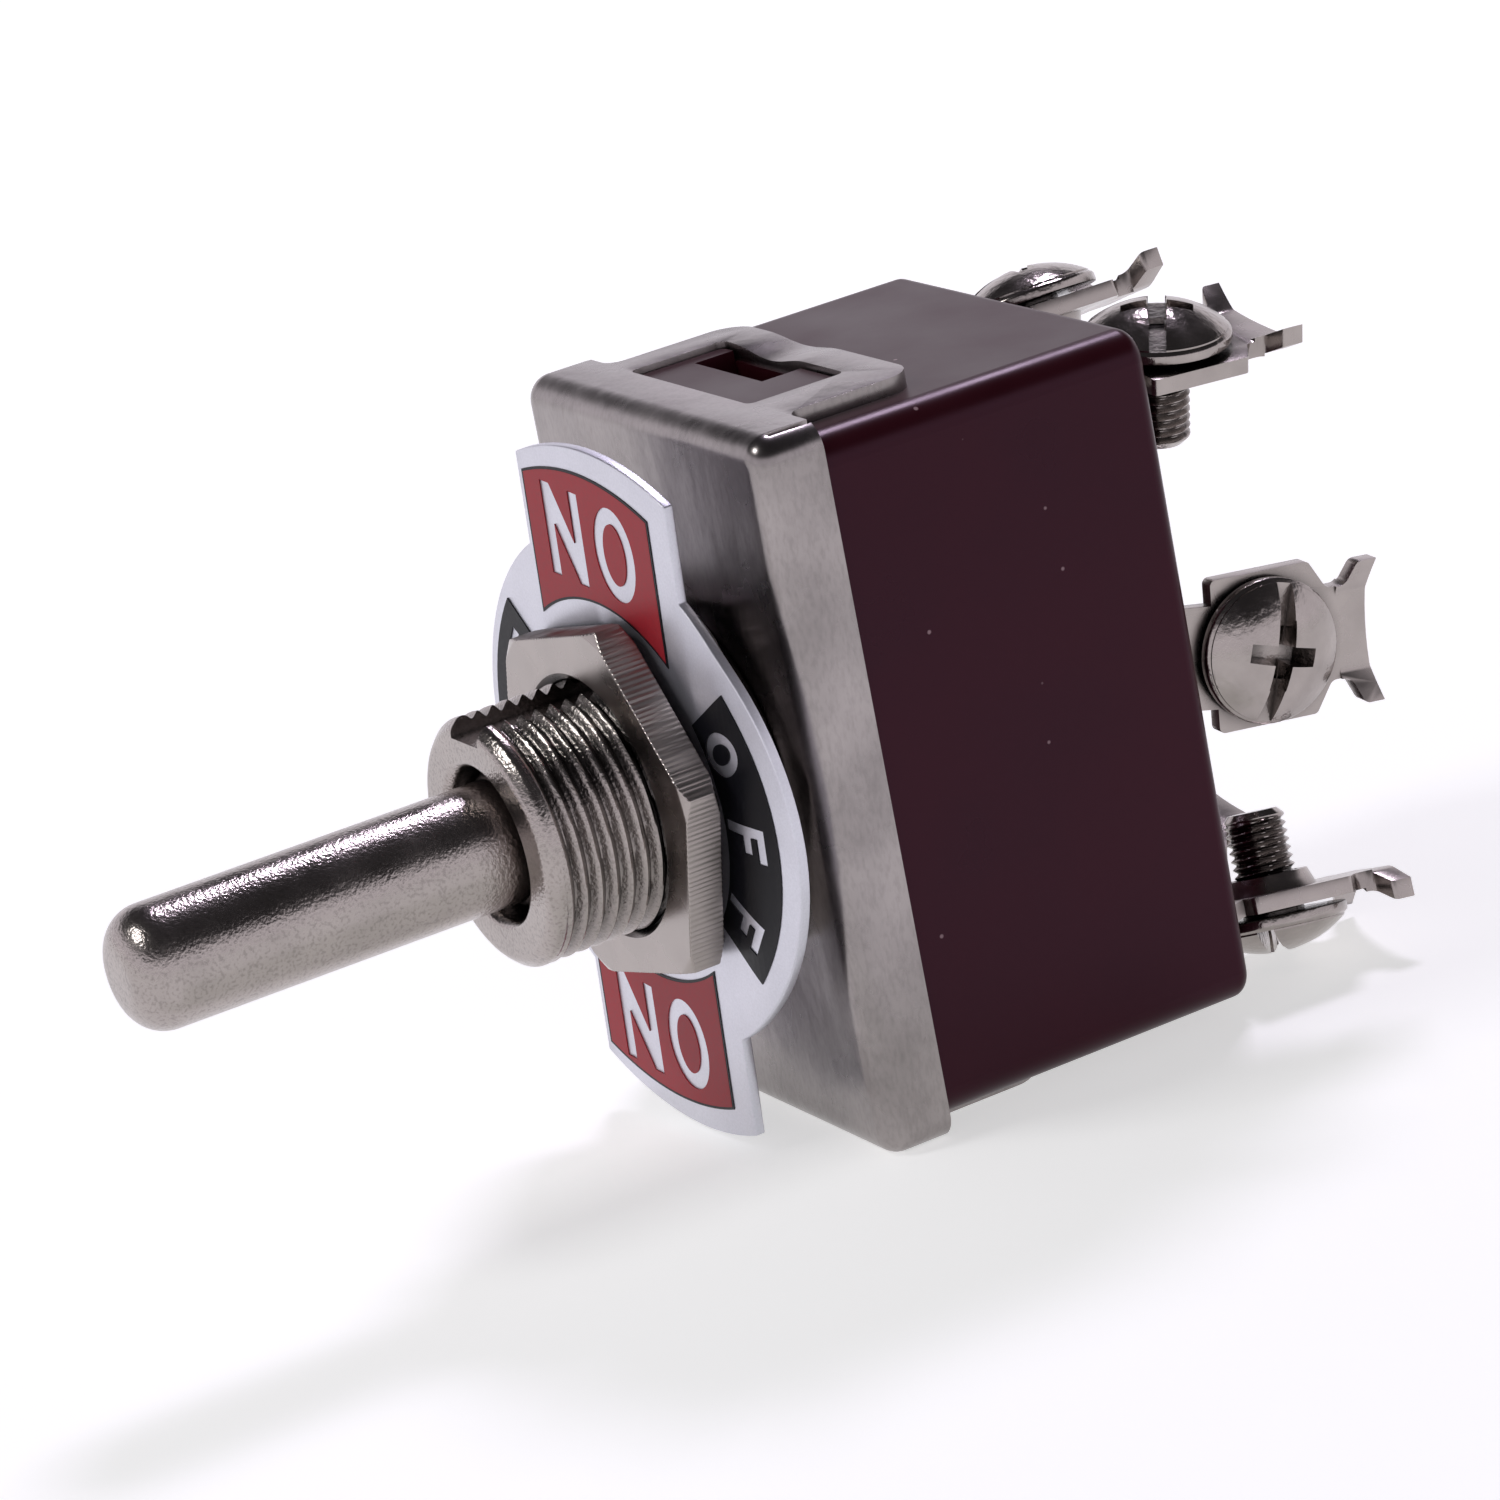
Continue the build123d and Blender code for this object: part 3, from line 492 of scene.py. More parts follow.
def phenolic_moulded():
    # Wood-filled phenolic from a steel mould: very dark red, glossy skin, a little orange peel and a few
    # pale flecks of the filler.
    tones = bpy.context.scene.switch_colours
    made, tree, shader = finish("Moulded phenolic", Roughness=0.3, IOR=1.6, Specular_IOR_Level=0.17)
    shader.inputs["Specular Tint"].default_value = (1.0, 0.6, 0.86, 1.0)
    clouds = grain(tree, 0.12, detail=5.0)
    body = blend_colours(tree, vary(tree, clouds, 0.0, 1.0), darker(tones.phenolic, 0.8), tones.phenolic)
    place = add(tree, "ShaderNodeTexCoord").outputs["Object"]
    mapped = add(tree, "ShaderNodeMapping", inputs={"Vector": place, "Scale": [1 / MM] * 3}).outputs[0]
    cells = add(tree, "ShaderNodeTexVoronoi", inputs={"Vector": mapped, "Scale": 0.55, "Randomness": 1.0})
    rare = vary(tree, cells.outputs["Color"], 0.0, 1.0, 0.6, 0.62)
    flecks = maths(tree, "MULTIPLY", vary(tree, cells.outputs["Distance"], 1.0, 0.0, 0.04, 0.07), rare)
    mixed = add(tree, "ShaderNodeMix", {"data_type": "RGBA"}, {
        0: flecks, 6: body, 7: (*colour("a0868a"), 1.0)}).outputs[2]
    tree.links.new(mixed, shader.inputs["Base Color"])
    tree.links.new(vary(tree, clouds, 0.27, 0.38), shader.inputs["Roughness"])
    bump(tree, shader, grain(tree, 1.0, detail=2.0), 0.01, 0.25)
    return made


def aluminium_sheet():
    # Satin aluminium sheet under clear lacquer: pale and even, with a fine sparkle.
    tones = bpy.context.scene.switch_colours
    made, tree, shader = finish("Satin aluminium sheet", Metallic=0.85, Roughness=0.38, Coat_Weight=0.2,
                                Coat_Roughness=0.25)
    sparkle = grain(tree, 9.0, detail=2.0)
    tone_by(tree, shader, sparkle, tones.aluminium, 0.92)
    tree.links.new(vary(tree, grain(tree, 0.5), 0.34, 0.44), shader.inputs["Roughness"])
    bump(tree, shader, sparkle, 0.003, 0.3)
    return made


def screen_ink(name, tone):
    # Screen ink on the plate: even colour with the faint weave of the screen and a few pinholes.
    made, tree, shader = finish(name, Roughness=0.36, Specular_IOR_Level=0.2)
    weave = grain(tree, 5.0, detail=3.0)
    tone_by(tree, shader, weave, tone, 0.86)
    tree.links.new(vary(tree, weave, 0.3, 0.42), shader.inputs["Roughness"])
    bump(tree, shader, weave, 0.004, 0.3)
    return made


def plain_metal(name, text, rough):
    # Bare inner metal: its own colour, dulled unevenly by air and handling.
    made, tree, shader = finish(name, Metallic=1.0, Roughness=rough)
    tone = colour(text)
    patches = grain(tree, 0.8, detail=4.0)
    tone_by(tree, shader, patches, tone, 0.75)
    tree.links.new(vary(tree, patches, rough, rough + 0.15), shader.inputs["Roughness"])
    bump(tree, shader, grain(tree, 6.0, detail=2.0), 0.004, 0.3)
    return made


def plain_plastic(name, text, rough, per_mm):
    # Inner mouldings and fibre sheet: matt, with the grain of the filler.
    made, tree, shader = finish(name, Roughness=rough)
    tone = colour(text)
    filler = grain(tree, per_mm, detail=4.0)
    tone_by(tree, shader, filler, tone, 0.8)
    tree.links.new(vary(tree, filler, rough, rough + 0.15), shader.inputs["Roughness"])
    bump(tree, shader, filler, 0.006, 0.3)
    return made


made_finishes = {}


def once(maker, *values):
    """Makes a material the first time it is asked for, and gives that one afterwards."""
    key = (maker.__name__, *values[:1])
    if key not in made_finishes:
        made_finishes[key] = maker(*values)
    return made_finishes[key]


# ---------------------------------------------------------------- the indicator plate's own surface

# As in the CAD: the loose plate's place and turns in the model, and the bend of its right lobe
PLATE_BACK_Y, PLATE_SWING, PLATE_SPIN = -3.1, 2.6, -5.4
UPRIGHT = Matrix(((1, 0, 0, 0), (0, 0, -1, 0), (0, 1, 0, 0), (0, 0, 0, 1)))
PLATE = (Matrix.Translation((0, PLATE_BACK_Y, 0)) @ UPRIGHT
         @ Matrix.Rotation(math.radians(PLATE_SWING), 4, "Y")
         @ Matrix.Rotation(math.radians(PLATE_SPIN), 4, "Z"))
THICK = 0.5
BACK_RADIUS = 9
FRONT_RADIUS = BACK_RADIUS + THICK
BEND = math.radians(9)
BEND_START = 8.6 - BACK_RADIUS * math.tan(BEND / 2)


def on_plate(x, y, height):
    """A point of the plate's surface in mm, from its place on the flat print and its height over the back."""
    reach = FRONT_RADIUS * math.sin(BEND)
    if x <= BEND_START:
        angle, along, up = 0.0, x, 0.0
    elif x <= BEND_START + reach:
        angle = math.asin((x - BEND_START) / FRONT_RADIUS)
        along, up = x, FRONT_RADIUS * (math.cos(angle) - 1)
    else:
        angle = BEND
        extra = (x - BEND_START - reach) / math.cos(BEND)
        along, up = x, FRONT_RADIUS * (math.cos(BEND) - 1) - extra * math.sin(BEND)
    lift = height - THICK
    return PLATE @ Vector((along + lift * math.sin(angle), y, THICK + up + lift * math.cos(angle)))


def printed(name, outlines, height):
    """A layer of ink from its flat outlines in mm, laid on the plate. An outline inside another is a hole."""
    data = bpy.data.curves.new(name, "CURVE")
    data.dimensions = "2D"
    data.fill_mode = "BOTH"
    data.extrude = height / 2
    for outline in outlines:
        spline = data.splines.new("POLY")
        spline.points.add(len(outline) - 1)
        for point, (x, y) in zip(spline.points, outline):
            point.co = (x, y, 0, 1)
        spline.use_cyclic_u = True
    flat = bpy.data.objects.new(name, data)
    bpy.context.scene.collection.objects.link(flat)
    graph = bpy.context.evaluated_depsgraph_get()
    mesh = bpy.data.meshes.new_from_object(flat.evaluated_get(graph))
    bpy.data.objects.remove(flat)
    shape = bmesh.new()
    shape.from_mesh(mesh)
    bmesh.ops.remove_doubles(shape, verts=shape.verts, dist=1e-4)
    # The flat ink is split where the plate bends, so that it follows the bend.
    for step in range(5):
        line = BEND_START + step * 0.38
        bmesh.ops.bisect_plane(shape, geom=shape.verts[:] + shape.edges[:] + shape.faces[:],
                               plane_co=(line, 0, 0), plane_no=(1, 0, 0))
    for vert in shape.verts:
        vert.co = on_plate(vert.co.x, vert.co.y, THICK + vert.co.z + height / 2) * MM
    return to_mesh(name, shape)


def ring_piece(inner, outer, low, high, side, grow=0.0):
    """The part of a ring between two upright lines, on the upper (1) or lower (-1) half."""
    inner, outer, low, high = inner - grow, outer + grow, low - grow, high + grow
    points = []
    for radius, ends in ((outer, (low, high)), (inner, (high, low))):
        first, last = (math.acos(x / radius) for x in ends)
        points += [(radius * math.cos(first + (last - first) * i / 24),
                    side * radius * math.sin(first + (last - first) * i / 24)) for i in range(25)]
    return points


def sector(inner, outer, half, side):
    """A ring sector to the right (1) or left (-1), its angle half given in degrees."""
    points = []
    for radius, ends in ((outer, (-half, half)), (inner, (half, -half))):
        points += [(side * radius * math.cos(math.radians(ends[0] + (ends[1] - ends[0]) * i / 24)),
                    side * radius * math.sin(math.radians(ends[0] + (ends[1] - ends[0]) * i / 24)))
                   for i in range(25)]
    return points


def oval(wide, high):
    return [(wide / 2 * math.cos(math.tau * i / 40), high / 2 * math.sin(math.tau * i / 40))
            for i in range(40)]


def letter(kind, wide, high, stroke):
    """The outlines of a plain block letter, centred on its own middle."""
    x, y, s = wide / 2, high / 2, stroke
    if kind == "O":
        return [oval(wide, high), oval(wide - 2 * s, high - 2 * s)]
    if kind == "N":
        d = s * 1.15
        return [[(-x, -y), (-x + s, -y), (-x + s, y - 2.2 * d), (x - s, -y), (x, -y), (x, y), (x - s, y),
                 (x - s, -y + 2.2 * d), (-x + s, y), (-x, y)]]
    return [[(-x, -y), (-x + s, -y), (-x + s, -s * 0.35), (x * 0.62, -s * 0.35), (x * 0.62, s * 0.65),
             (-x + s, s * 0.65), (-x + s, y - s), (x, y - s), (x, y), (-x, y)]]


def placed(outlines, centre, degrees):
    turn = Matrix.Rotation(math.radians(degrees), 2)
    return [[tuple(turn @ Vector(point) + Vector(centre)) for point in outline] for outline in outlines]


# ---------------------------------------------------------------- operators

# Sizes in mm that several pieces share, as in the CAD
PIVOT_Y = -8.2
PIN_RADIUS = 0.8
BUSHING_RADIUS = 6.0
BUSHING_TIP_Y = -11.7
THREAD_START_Y = -10.95


class SWITCH_OT_bushing(bpy.types.Operator):
    """Threaded bushing, with its keyway, its ball seat and its rivet behind the bracket"""
    bl_idname = "switch.bushing"
    bl_label = "Threaded bushing"

    def execute(self, context):
        sizes = context.scene.switch_sizes
        wall, seat = BUSHING_RADIUS, 4.05
        section = [(4.6, 1.3), (6.35, 1.3), (6.6, 0.8), (5.5, 0.8), (5.5, 0.0), (wall, 0.0)]
        section += spaced((wall, -0.02), (wall, THREAD_START_Y), 170)
        tip = [(wall, THREAD_START_Y), (wall, -11.2), (5.5, BUSHING_TIP_Y), (3.95, BUSHING_TIP_Y),
               (3.72, -11.4), (3.5, -10.24)]
        section += rounded(tip, {1: 0.2, 2: 0.22, 3: 0.18, 4: 0.15})
        section += arc((0, PIVOT_Y), seat, -30, 0, 8)
        section += [(seat, -7.0), (4.6, -7.0)]
        piece = stand(turned("threaded_bushing", lambda angle: section, steps=144))
        run_tree(piece, thread_tree(), {
            "Radius": wall * MM, "Pitch": sizes.bushing_pitch, "Depth": sizes.bushing_depth,
            "First": THREAD_START_Y * MM, "Last": -0.1 * MM, "Run out": 0.6 * MM,
            "Finish": once(nickel_turned)})
        hole, reach = PIN_RADIUS + 0.05, 4.7
        cut(piece, [block("keyway", (-1.3, -12.5, 5.0), (1.3, -1.2, 7.0)),
                    rod("pin_hole", hole, reach, (0, PIVOT_Y, 0)),
                    block("pin_way", (-reach, PIVOT_Y, -hole), (reach, -6.9, hole))])
        settle(shade(piece, 32), once(nickel_turned), "housing", "nickel_brass", "bushing")
        return {"FINISHED"}


class SWITCH_OT_nuts(bpy.types.Operator):
    """Lock washer and the two hexagon nuts on the bushing"""
    bl_idname = "switch.nuts"
    bl_label = "Nuts and lock washer"

    def execute(self, context):
        flats = context.scene.switch_sizes.nut_flats / MM / 2
        bore, mouth, sink, chamfer = 6.03, 6.38, 0.35, flats * 1.09
        for node, front, back, turn in (("front_nut", -5.85, -4.05, 12.0), ("rear_nut", -2.4, -0.6, 4.0)):
            def section(angle):
                lean = math.radians((math.degrees(angle) - turn) % 60 - 30)
                along = flats * math.tan(lean)
                rib = 0.02 * (1 + math.sin(math.tau * along / 0.27 + 1.4 * math.sin(1.9 * along)))
                out = min((flats - rib) / math.cos(lean), flats * 1.15)
                reach = min(chamfer, out - 0.1)
                drop = max(0.0, out - chamfer) * 0.5
                points = [(bore, front + sink), (mouth, front), (reach, front), (out, front + drop),
                          (out, back - drop), (reach, back), (mouth, back), (bore, back - sink)]
                return rounded(points, {2: 0.06, 3: 0.08, 4: 0.08, 5: 0.06}, 3)

            piece = stand(turned(node + "_hexagon", section, steps=864, start=math.radians(turn)))
            settle(shade(piece, 28), once(nickel_bar), "housing", "nickel", node)
        washer = soften(copied("lock_washer", "toothed_washer"), context.scene.switch_sizes.edge)
        settle(shade(washer), once(nickel_headed), "housing", "nickel", "lock_washer")
        return {"FINISHED"}


class SWITCH_OT_lever(bpy.types.Operator):
    """Turned lever with its rounded tip, ball and stem"""
    bl_idname = "switch.lever"
    bl_label = "Lever"

    def execute(self, context):
        radius, end, tip_radius, ball_radius = 2.95, -30.4, 1.9, 4.0
        tip = arc((radius - tip_radius, end + tip_radius), tip_radius, -90, 0, 12)
        joint = math.degrees(math.acos(radius / ball_radius))
        ball = arc((0, PIVOT_Y), ball_radius, -joint, 60, 20)
        section = [(0.0, end)] + tip + spaced((radius, -28.4), (radius, -11.0), 6) + ball
        section += [(2.0, 7.1), (1.85, 7.3), (0.0, 7.3)]
        piece = stand(turned("turned_lever", lambda angle: section, steps=96, closed=False))
        cut(piece, [rod("pin_hole", PIN_RADIUS, 5.0, (0, PIVOT_Y, 0))])
        settle(shade(piece, 30), once(nickel_turned), "lever", "nickel", "lever")
        return {"FINISHED"}


# The print, in mm and degrees on the flat plate, off the bushing's axis as in the photograph. The ON fields
# are ring pieces (inner and outer radius, left and right end), the OFF fields sectors (radii, half angle).
ON_FIELD = (9.4, 15.5, -5.25, 5.25)
ON_SHIFT = (-0.95, -0.25)
OFF_FIELD = (8.0, 11.6, 38)
OFF_SHIFT = (-0.5, 0)
# Letter, width, x, distance above or below the axis, and how far both are moved up
ON_LETTERS = (("N", 3.2, -3.2, 12.4, -0.42), ("O", 3.4, 1.1, 12.3, -0.33))
ON_LETTER_HEIGHT = 4.6
# Letter, width, and its place around the axis in degrees
OFF_LETTERS = (("O", 2.1, 27), ("F", 1.75, 0), ("F", 1.75, -29))
OFF_LETTER_RADIUS, OFF_LETTER_HEIGHT, OFF_LETTER_STROKE = 8.95, 2.6, 0.56
INK_HEIGHT, BORDER_HEIGHT = 0.06, 0.05


class SWITCH_OT_plate(bpy.types.Operator):
    """Indicator plate with its screen-printed ON and OFF fields"""
    bl_idname = "switch.plate"
    bl_label = "Indicator plate"

    def execute(self, context):
        sizes, tones = context.scene.switch_sizes, context.scene.switch_colours
        plate = soften(copied("indicator_plate", "plate_sheet"), 0.08 * MM)
        settle(shade(plate, 40), once(aluminium_sheet), "housing", "aluminium", "indicator_plate")
        stroke, border = sizes.stroke / MM, sizes.border / MM
        red = once(screen_ink, "Red screen ink", tones.red)
        black = once(screen_ink, "Black screen ink", tones.black)
        ink, frames = [], []
        for side in (1, -1):
            field = placed([ring_piece(*ON_FIELD, side)], ON_SHIFT, 0)
            ink += field
            for kind, wide, x, y, up in ON_LETTERS:
                ink += placed(letter(kind, wide, ON_LETTER_HEIGHT, stroke), (x, side * y + up), 0)
            frames += placed([ring_piece(*ON_FIELD, side, border)], ON_SHIFT, 0) + field
        settle(stand(printed("red_fields", ink, INK_HEIGHT)), red, "housing", "red_print", "on_fields")
        settle(stand(printed("field_borders", frames, BORDER_HEIGHT)), black, "housing", "black_print")
        ink = []
        for side in (1, -1):
            ink += placed([sector(*OFF_FIELD, side)], OFF_SHIFT, 0)
            for kind, wide, degrees in OFF_LETTERS:
                angle = degrees + (0 if side == 1 else 180)
                # The left field stands 1 mm further out than the right one, and its letters go with it.
                centre = (OFF_LETTER_RADIUS * math.cos(math.radians(angle)) + (side - 1) * 0.5,
                          OFF_LETTER_RADIUS * math.sin(math.radians(angle)))
                ink += placed(letter(kind, wide, OFF_LETTER_HEIGHT, OFF_LETTER_STROKE), centre, angle - 90)
        settle(stand(printed("black_fields", ink, INK_HEIGHT)), black, "housing", "black_print", "off_fields")
        return {"FINISHED"}


# The six terminals: CAD node, side (1 right, -1 left), level (1 up, 0 middle, -1 down), the lug's bends in
# degrees and its shifts in mm, and the turn of the screw's slot in degrees
LUGS = (
    ("terminal_upper_right", 1, 1, (9.4, 4.0, -1.0), (-0.6, 0.3, 0.2), -33.0),
    ("terminal_upper_left", -1, 1, (-20.0, 0.0, 4.0), (-0.7, 0.1, 0.4), 75.0),
    ("terminal_middle_right", 1, 0, (0.0, -5.5, -6.0), (0.1, -0.4, 0.3), -14.0),
    ("terminal_middle_left", -1, 0, (0.0, -2.0, 3.0), (0.0, 0.2, 0.2), 60.0),
    ("terminal_lower_right", 1, -1, (-17.0, -7.0, 5.0), (0.0, 0.3, 0.4), 35.0),
    ("terminal_lower_left", -1, -1, (8.0, -2.0, 2.0), (0.0, 0.0, 0.0), 80.0),
)
# In mm: where the feet of the outer and middle terminals leave the case, from there to the bend, and the
# middle of the screw's hole on the lug
OUTER_FOOT, MIDDLE_FOOT = (5.3, 20.8, 13.4), (8.0, 20.8, 0)
FOOT_TO_BEND = 1.9
LUG_HOLE = (2.6, 0, 0.7)


def lug_frame(side, level, bends, shifts):
    """The place of a terminal lug's own plane in mm: along the switch, across, and outward."""
    along = Vector((0, 1, 0))
    outward = Vector((0, 0, level)) if level else Vector((side, 0, 0))
    x, y, z = OUTER_FOOT if level else MIDDLE_FOOT
    across = outward.cross(along)
    root = Matrix((along, across, outward)).transposed().to_4x4()
    root.translation = Vector((side * x, y, level * z)) + FOOT_TO_BEND * along
    turns = (Matrix.Rotation(math.radians(bends[0]), 4, "X") @ Matrix.Rotation(math.radians(bends[1]), 4, "Y")
             @ Matrix.Rotation(math.radians(bends[2]), 4, "Z"))
    return root @ Matrix.Translation(shifts) @ turns


def cross_arm(turn):
    """One tapered arm of the driver recess, as a cutter around the Y axis."""
    shape = bmesh.new()
    ends = []
    for y, along, across in ((2.2, 1.98, 0.5), (0.35, 1.15, 0.34)):
        ends.append([shape.verts.new(Matrix.Rotation(turn, 3, "Y") @ Vector((x * across, y, z * along)) * MM)
                     for x, z in ((1, 1), (-1, 1), (-1, -1), (1, -1))])
    top, low = ends
    shape.faces.new(top)
    shape.faces.new(low)
    for i in range(4):
        shape.faces.new((top[i], top[i - 1], low[i - 1], low[i]))
    return to_mesh("cross_arm", shape)


class SWITCH_OT_screws(bpy.types.Operator):
    """Six terminal screws with a slotted cross recess and a cut thread"""
    bl_idname = "switch.screws"
    bl_label = "Terminal screws"

    def execute(self, context):
        sizes = context.scene.switch_sizes
        end, shank, head, top, dome_radius = -5.0, 1.5, 3.5, 1.85, 5.212
        dome = arc((0, top - dome_radius), dome_radius, 47.8, 90, 14)
        section = [(0.0, end), (shank - 0.3, end), (shank, -4.7)]
        section += spaced((shank, -4.65), (shank, -0.05), 112)
        section += rounded([(shank, 0.0), (head, 0.0), (head, 0.46), (head - 0.2, 0.6)], {1: 0.12, 2: 0.1}, 3)
        section += dome[1:-1] + [(0.0, top)]
        screw = stand(turned("terminal_screw", lambda angle: section, steps=64, closed=False))
        run_tree(screw, thread_tree(), {
            "Radius": shank * MM, "Pitch": sizes.screw_pitch, "Depth": sizes.screw_depth,
            "First": -4.75 * MM, "Last": -0.15 * MM, "Run out": 0.25 * MM, "Finish": once(nickel_headed)})
        slot = block("slot", (-0.4, 0.6, -4.0), (0.4, 2.5, 4.0))
        cut(screw, [slot, cross_arm(0.0), cross_arm(math.pi / 2)])
        shade(screw, 30)
        points = bpy.data.meshes.new("screw_points")
        places = []
        for _, side, level, bends, shifts, slot_turn in LUGS:
            turn = (Matrix.Rotation(math.radians(slot_turn), 4, "Z")
                    @ Matrix.Rotation(math.pi / 2, 4, "X"))
            places.append(lug_frame(side, level, bends, shifts) @ Matrix.Translation(LUG_HOLE) @ turn)
        points.from_pydata([place.translation * MM for place in places], [], [])
        turns = points.attributes.new("turn", "FLOAT_VECTOR", "POINT")
        for item, place in zip(turns.data, places):
            item.vector = place.to_euler()
        piece = stand(points)
        piece.name = "six_screws"
        run_tree(piece, placing_tree(), {"Screw": screw, "Finish": once(nickel_headed)})
        bpy.data.objects.remove(screw)
        if len(piece.data.polygons) < 1000:
            raise RuntimeError("the screws were not placed")
        settle(piece, once(nickel_headed), "housing", "nickel", "terminal_screws")
        return {"FINISHED"}


class SWITCH_OT_lugs(bpy.types.Operator):
    """Six terminal lugs, blanked from strip and bent by hand"""
    bl_idname = "switch.lugs"
    bl_label = "Terminal lugs"

    def execute(self, context):
        for name, *_ in LUGS:
            piece = copied(name, name.replace("terminal", "lug"))
            soften(piece, 1.5 * context.scene.switch_sizes.edge)
            settle(shade(piece), once(nickel_strip), "housing", "nickel_brass", name)
        return {"FINISHED"}


# The dent in the bracket's upper strip, in mm: its middle and half width along X, and its depth at the
# window's edge and at the strip's far edge
DENT_X, DENT_HALF = -2.2, 3.4
DENT_NEAR, DENT_FAR = 0.38, 0.24


def pressed(piece):
    """Presses the strip beyond the upper window down in its middle, where it was pushed into the case."""
    shape = bmesh.new()
    shape.from_mesh(piece.data)
    for step in range(16):
        bmesh.ops.bisect_plane(shape, geom=shape.verts[:] + shape.edges[:] + shape.faces[:],
                               plane_co=((DENT_X - DENT_HALF + 0.45 * step) * MM, 0, 0),
                               plane_no=(1, 0, 0))
    for vert in shape.verts:
        x, y, z = vert.co / MM
        if y > 8.2 and z > 17.2 and abs(x - DENT_X) < DENT_HALF:
            depth = DENT_NEAR if y < 9 else DENT_FAR
            vert.co.z -= depth * math.cos((x - DENT_X) / DENT_HALF * math.pi / 2) ** 2 * MM
    shape.to_mesh(piece.data)
    shape.free()
    return piece


class SWITCH_OT_housing(bpy.types.Operator):
    """Folded bracket and moulded case"""
    bl_idname = "switch.housing"
    bl_label = "Bracket and case"

    def execute(self, context):
        piece = soften(pressed(copied("bracket", "folded_bracket")), context.scene.switch_sizes.edge)
        settle(shade(piece), once(nickel_sheet), "housing", "nickel", "bracket")
        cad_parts["case"].material_slots[0].material = once(phenolic_moulded)
        return {"FINISHED"}


class SWITCH_OT_mechanism(bpy.types.Operator):
    """Finishes of the pieces inside the case and the bushing, and copies of the coil springs"""
    bl_idname = "switch.mechanism"
    bl_label = "Mechanism"

    def execute(self, context):
        brass = once(plain_metal, "Turned brass", "b89a5e", 0.25)
        copper = once(plain_metal, "Rolled copper strip", "b87a5c", 0.28)
        silver = once(plain_metal, "Headed silver rivet", "d4d0c8", 0.2)
        spring = once(plain_metal, "Coiled spring steel", "8f8c88", 0.3)
        fibre = once(plain_plastic, "Vulcanised fibre sheet", "5a2f26", 0.6, 1.5)
        nylon = once(plain_plastic, "Moulded nylon", "d8d2c2", 0.4, 0.5)
        finishes = {"ball_retainer": brass, "pivot_pin": once(nickel_headed), "insulator": fibre,
                    "carrier": nylon, "plunger_right": nylon, "plunger_left": nylon, "rocker_right": copper,
                    "rocker_left": copper, "moving_contacts_right": silver, "moving_contacts_left": silver,
                    "fixed_contacts": silver}
        for node, material in finishes.items():
            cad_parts[node].material_slots[0].material = material
        for side in ("right", "left"):
            node = "spring_" + side
            piece = settle(copied(node, "coil_spring_" + side), spring, "lever", "spring_steel", node)
            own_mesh(piece)
        return {"FINISHED"}


def lamp(name, place, target, size, watts):
    data = bpy.data.lights.new(name, "AREA")
    data.shape = "RECTANGLE"
    data.size, data.size_y = size
    data.energy = watts
    made = bpy.data.objects.new(name, data)
    made.location = place
    made.rotation_euler = (Vector(target) - Vector(place)).to_track_quat("-Z", "Y").to_euler()
    bpy.context.scene.collection.objects.link(made)
    return made


# The floor's height and half width in mm, and the strength of its glow
FLOOR_Z, FLOOR_HALF, FLOOR_GLOW = -17.3, 1500, 0.55
# The camera fitted to the photograph: its place in mm, its right, up and backward axes, and its lens
CAMERA_PLACE = (245.13, -121.0, 89.25)
CAMERA_AXES = ((0.4944, 0.8497, -0.1831), (-0.1844, 0.3084, 0.9332), (0.8494, -0.4276, 0.3092))
CAMERA_LENS = 149.37


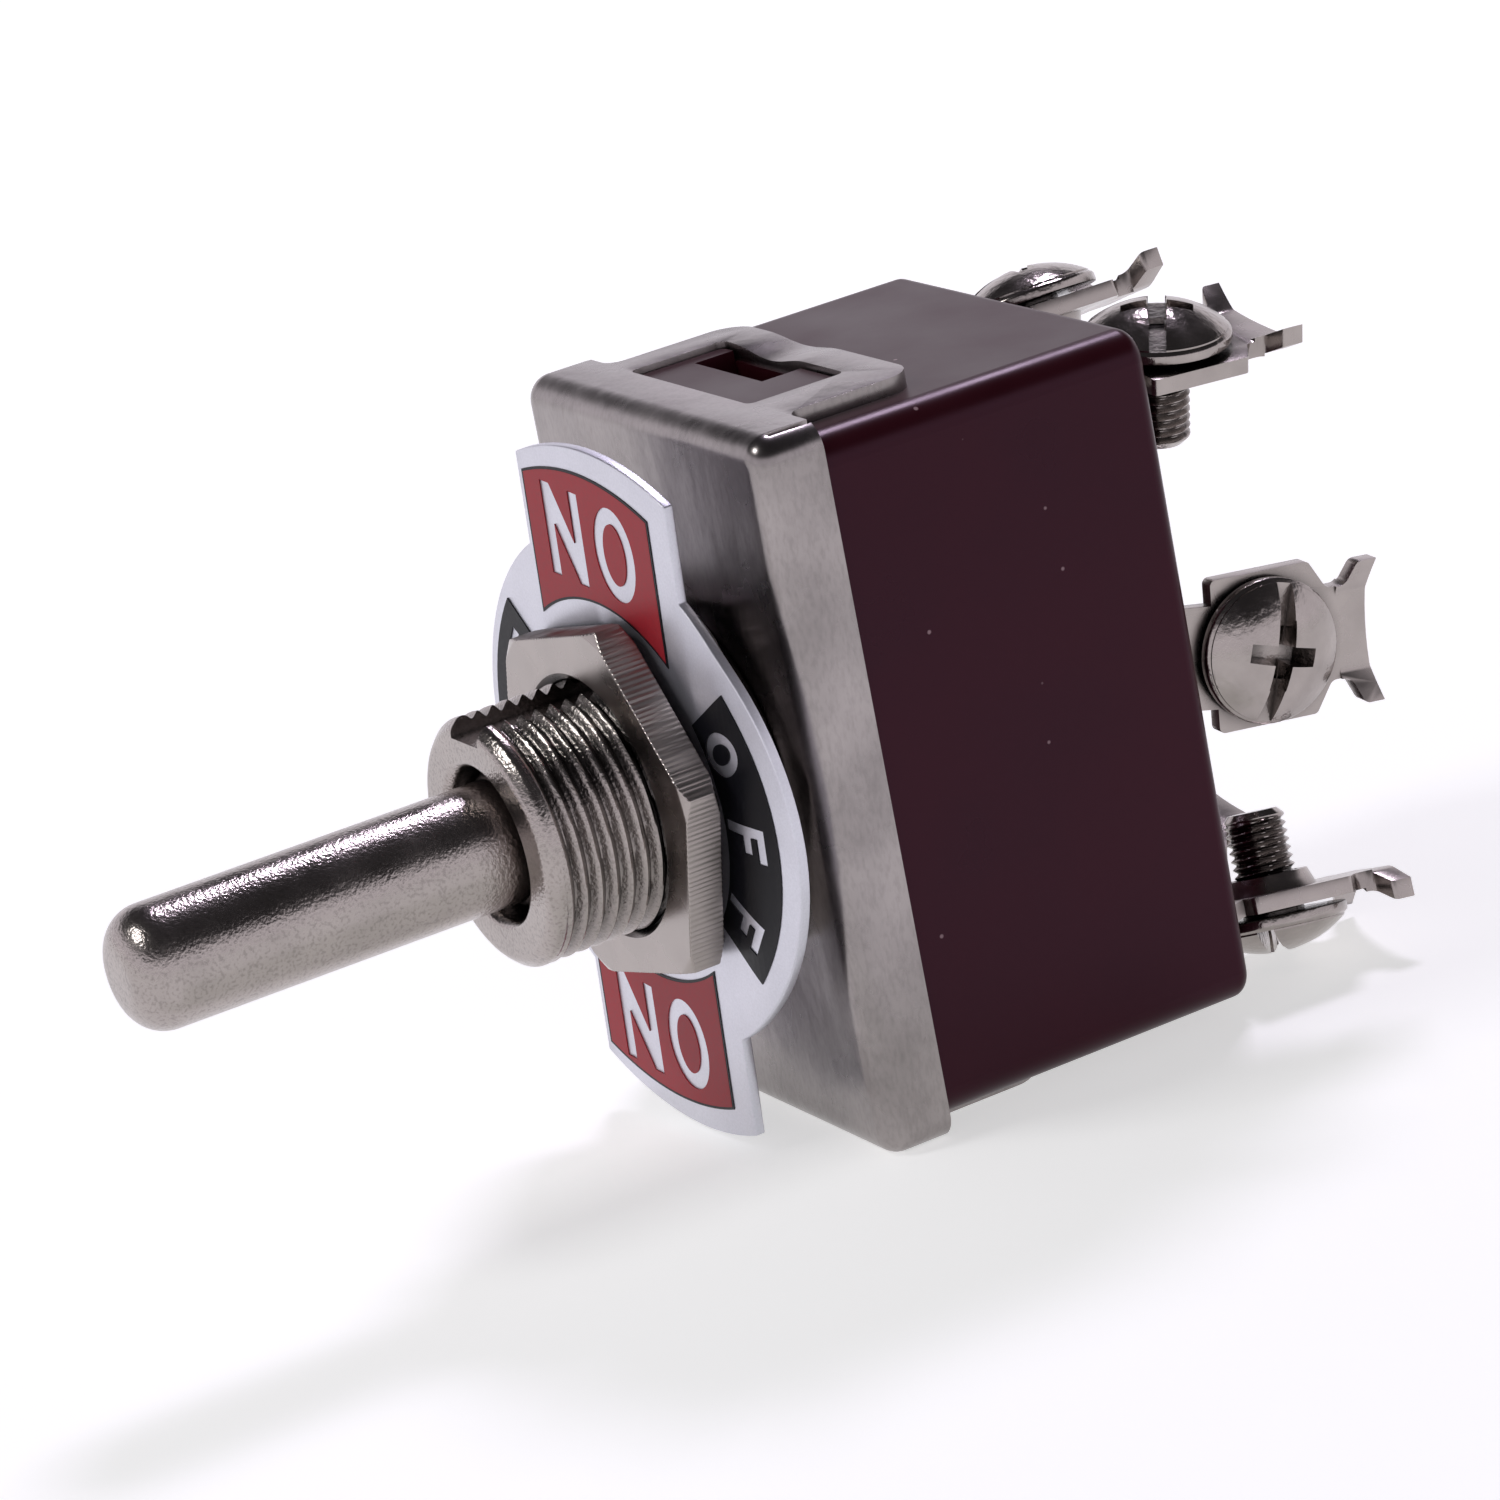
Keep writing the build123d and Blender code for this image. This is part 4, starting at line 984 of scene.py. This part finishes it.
class SWITCH_OT_stage(bpy.types.Operator):
    """Plain pale floor, soft lamps and the camera of the photograph"""
    bl_idname = "switch.stage"
    bl_label = "Stage"

    def execute(self, context):
        scene = context.scene
        floor = stand(block("floor", (-FLOOR_HALF, -FLOOR_HALF, FLOOR_Z - 2),
                            (FLOOR_HALF, FLOOR_HALF, FLOOR_Z)))
        made, tree, shader = finish("Pale paper floor", Roughness=0.9)
        shader.inputs["Base Color"].default_value = (0.78, 0.78, 0.78, 1.0)
        # The floor glows only where it is seen, straight or mirrored: it looks white and adds no soft light.
        paths = add(tree, "ShaderNodeLightPath").outputs
        seen = 0.0
        for ray in ("Is Camera Ray", "Is Glossy Ray", "Is Transmission Ray"):
            seen = maths(tree, "MAXIMUM", seen, paths[ray])
        shader.inputs["Emission Color"].default_value = (1.0, 1.0, 1.0, 1.0)
        tree.links.new(maths(tree, "MULTIPLY", seen, FLOOR_GLOW), shader.inputs["Emission Strength"])
        floor.data.materials.append(made)

        world = bpy.data.worlds.new("Soft room")
        scene.world = world
        world.use_nodes = True
        # White paper walls under a dark ceiling.
        room = world.node_tree
        rise = add(room, "ShaderNodeSeparateXYZ", inputs={
            0: add(room, "ShaderNodeTexCoord").outputs["Generated"]}).outputs["Z"]
        room.links.new(vary(room, rise, 0.97, 0.04, 0.33, 0.47), room.nodes["Background"].inputs["Strength"])
        room.nodes["Background"].inputs["Color"].default_value = (1.0, 0.96, 1.03, 1.0)
        aim = (0, 0, 0)
        lamp("Key softbox", (-0.1, -0.4, 0.45), aim, (0.16, 0.11), 0.8)
        top = lamp("Top softbox", (-0.3, 0.3, 0.52), aim, (0.15, 0.1), 1.5)
        top.data.color = (1.0, 0.92, 1.12)

        data = bpy.data.cameras.new("Camera")
        data.sensor_width = 36.0
        data.lens = CAMERA_LENS
        data.clip_start = 0.01
        data.clip_end = 10.0
        camera = bpy.data.objects.new("Camera", data)
        place = Matrix.Translation(Vector(CAMERA_PLACE) * MM)
        camera.matrix_world = place @ Matrix(CAMERA_AXES).transposed().to_4x4()
        scene.collection.objects.link(camera)
        scene.camera = camera
        scene.view_settings.view_transform = "Standard"
        return {"FINISHED"}


PIECES = (SWITCH_OT_housing, SWITCH_OT_bushing, SWITCH_OT_nuts, SWITCH_OT_plate, SWITCH_OT_lever,
          SWITCH_OT_lugs, SWITCH_OT_screws, SWITCH_OT_mechanism, SWITCH_OT_stage)


class SWITCH_PT_pieces(bpy.types.Panel):
    bl_idname = "SWITCH_PT_pieces"
    bl_label = "Panel Toggle Switch"
    bl_space_type = "VIEW_3D"
    bl_region_type = "UI"
    bl_category = "Switch"

    def draw(self, context):
        for group in (context.scene.switch_sizes, context.scene.switch_colours):
            for name in group.bl_rna.properties.keys():
                if name not in ("rna_type", "name"):
                    self.layout.prop(group, name)
        for piece in PIECES:
            self.layout.operator(piece.bl_idname)


CLASSES = (SwitchSizes, SwitchColours) + PIECES + (SWITCH_PT_pieces,)


def register():
    for item in CLASSES:
        bpy.utils.register_class(item)
    bpy.types.Scene.switch_sizes = bpy.props.PointerProperty(type=SwitchSizes)
    bpy.types.Scene.switch_colours = bpy.props.PointerProperty(type=SwitchColours)


def unregister():
    del bpy.types.Scene.switch_colours
    del bpy.types.Scene.switch_sizes
    for item in reversed(CLASSES):
        bpy.utils.unregister_class(item)


def main():
    register()
    bpy.ops.switch.housing()
    bpy.ops.switch.bushing()
    bpy.ops.switch.nuts()
    bpy.ops.switch.plate()
    bpy.ops.switch.lever()
    bpy.ops.switch.lugs()
    bpy.ops.switch.screws()
    bpy.ops.switch.mechanism()
    bpy.ops.switch.stage()


if __name__ == "__main__":
    main()
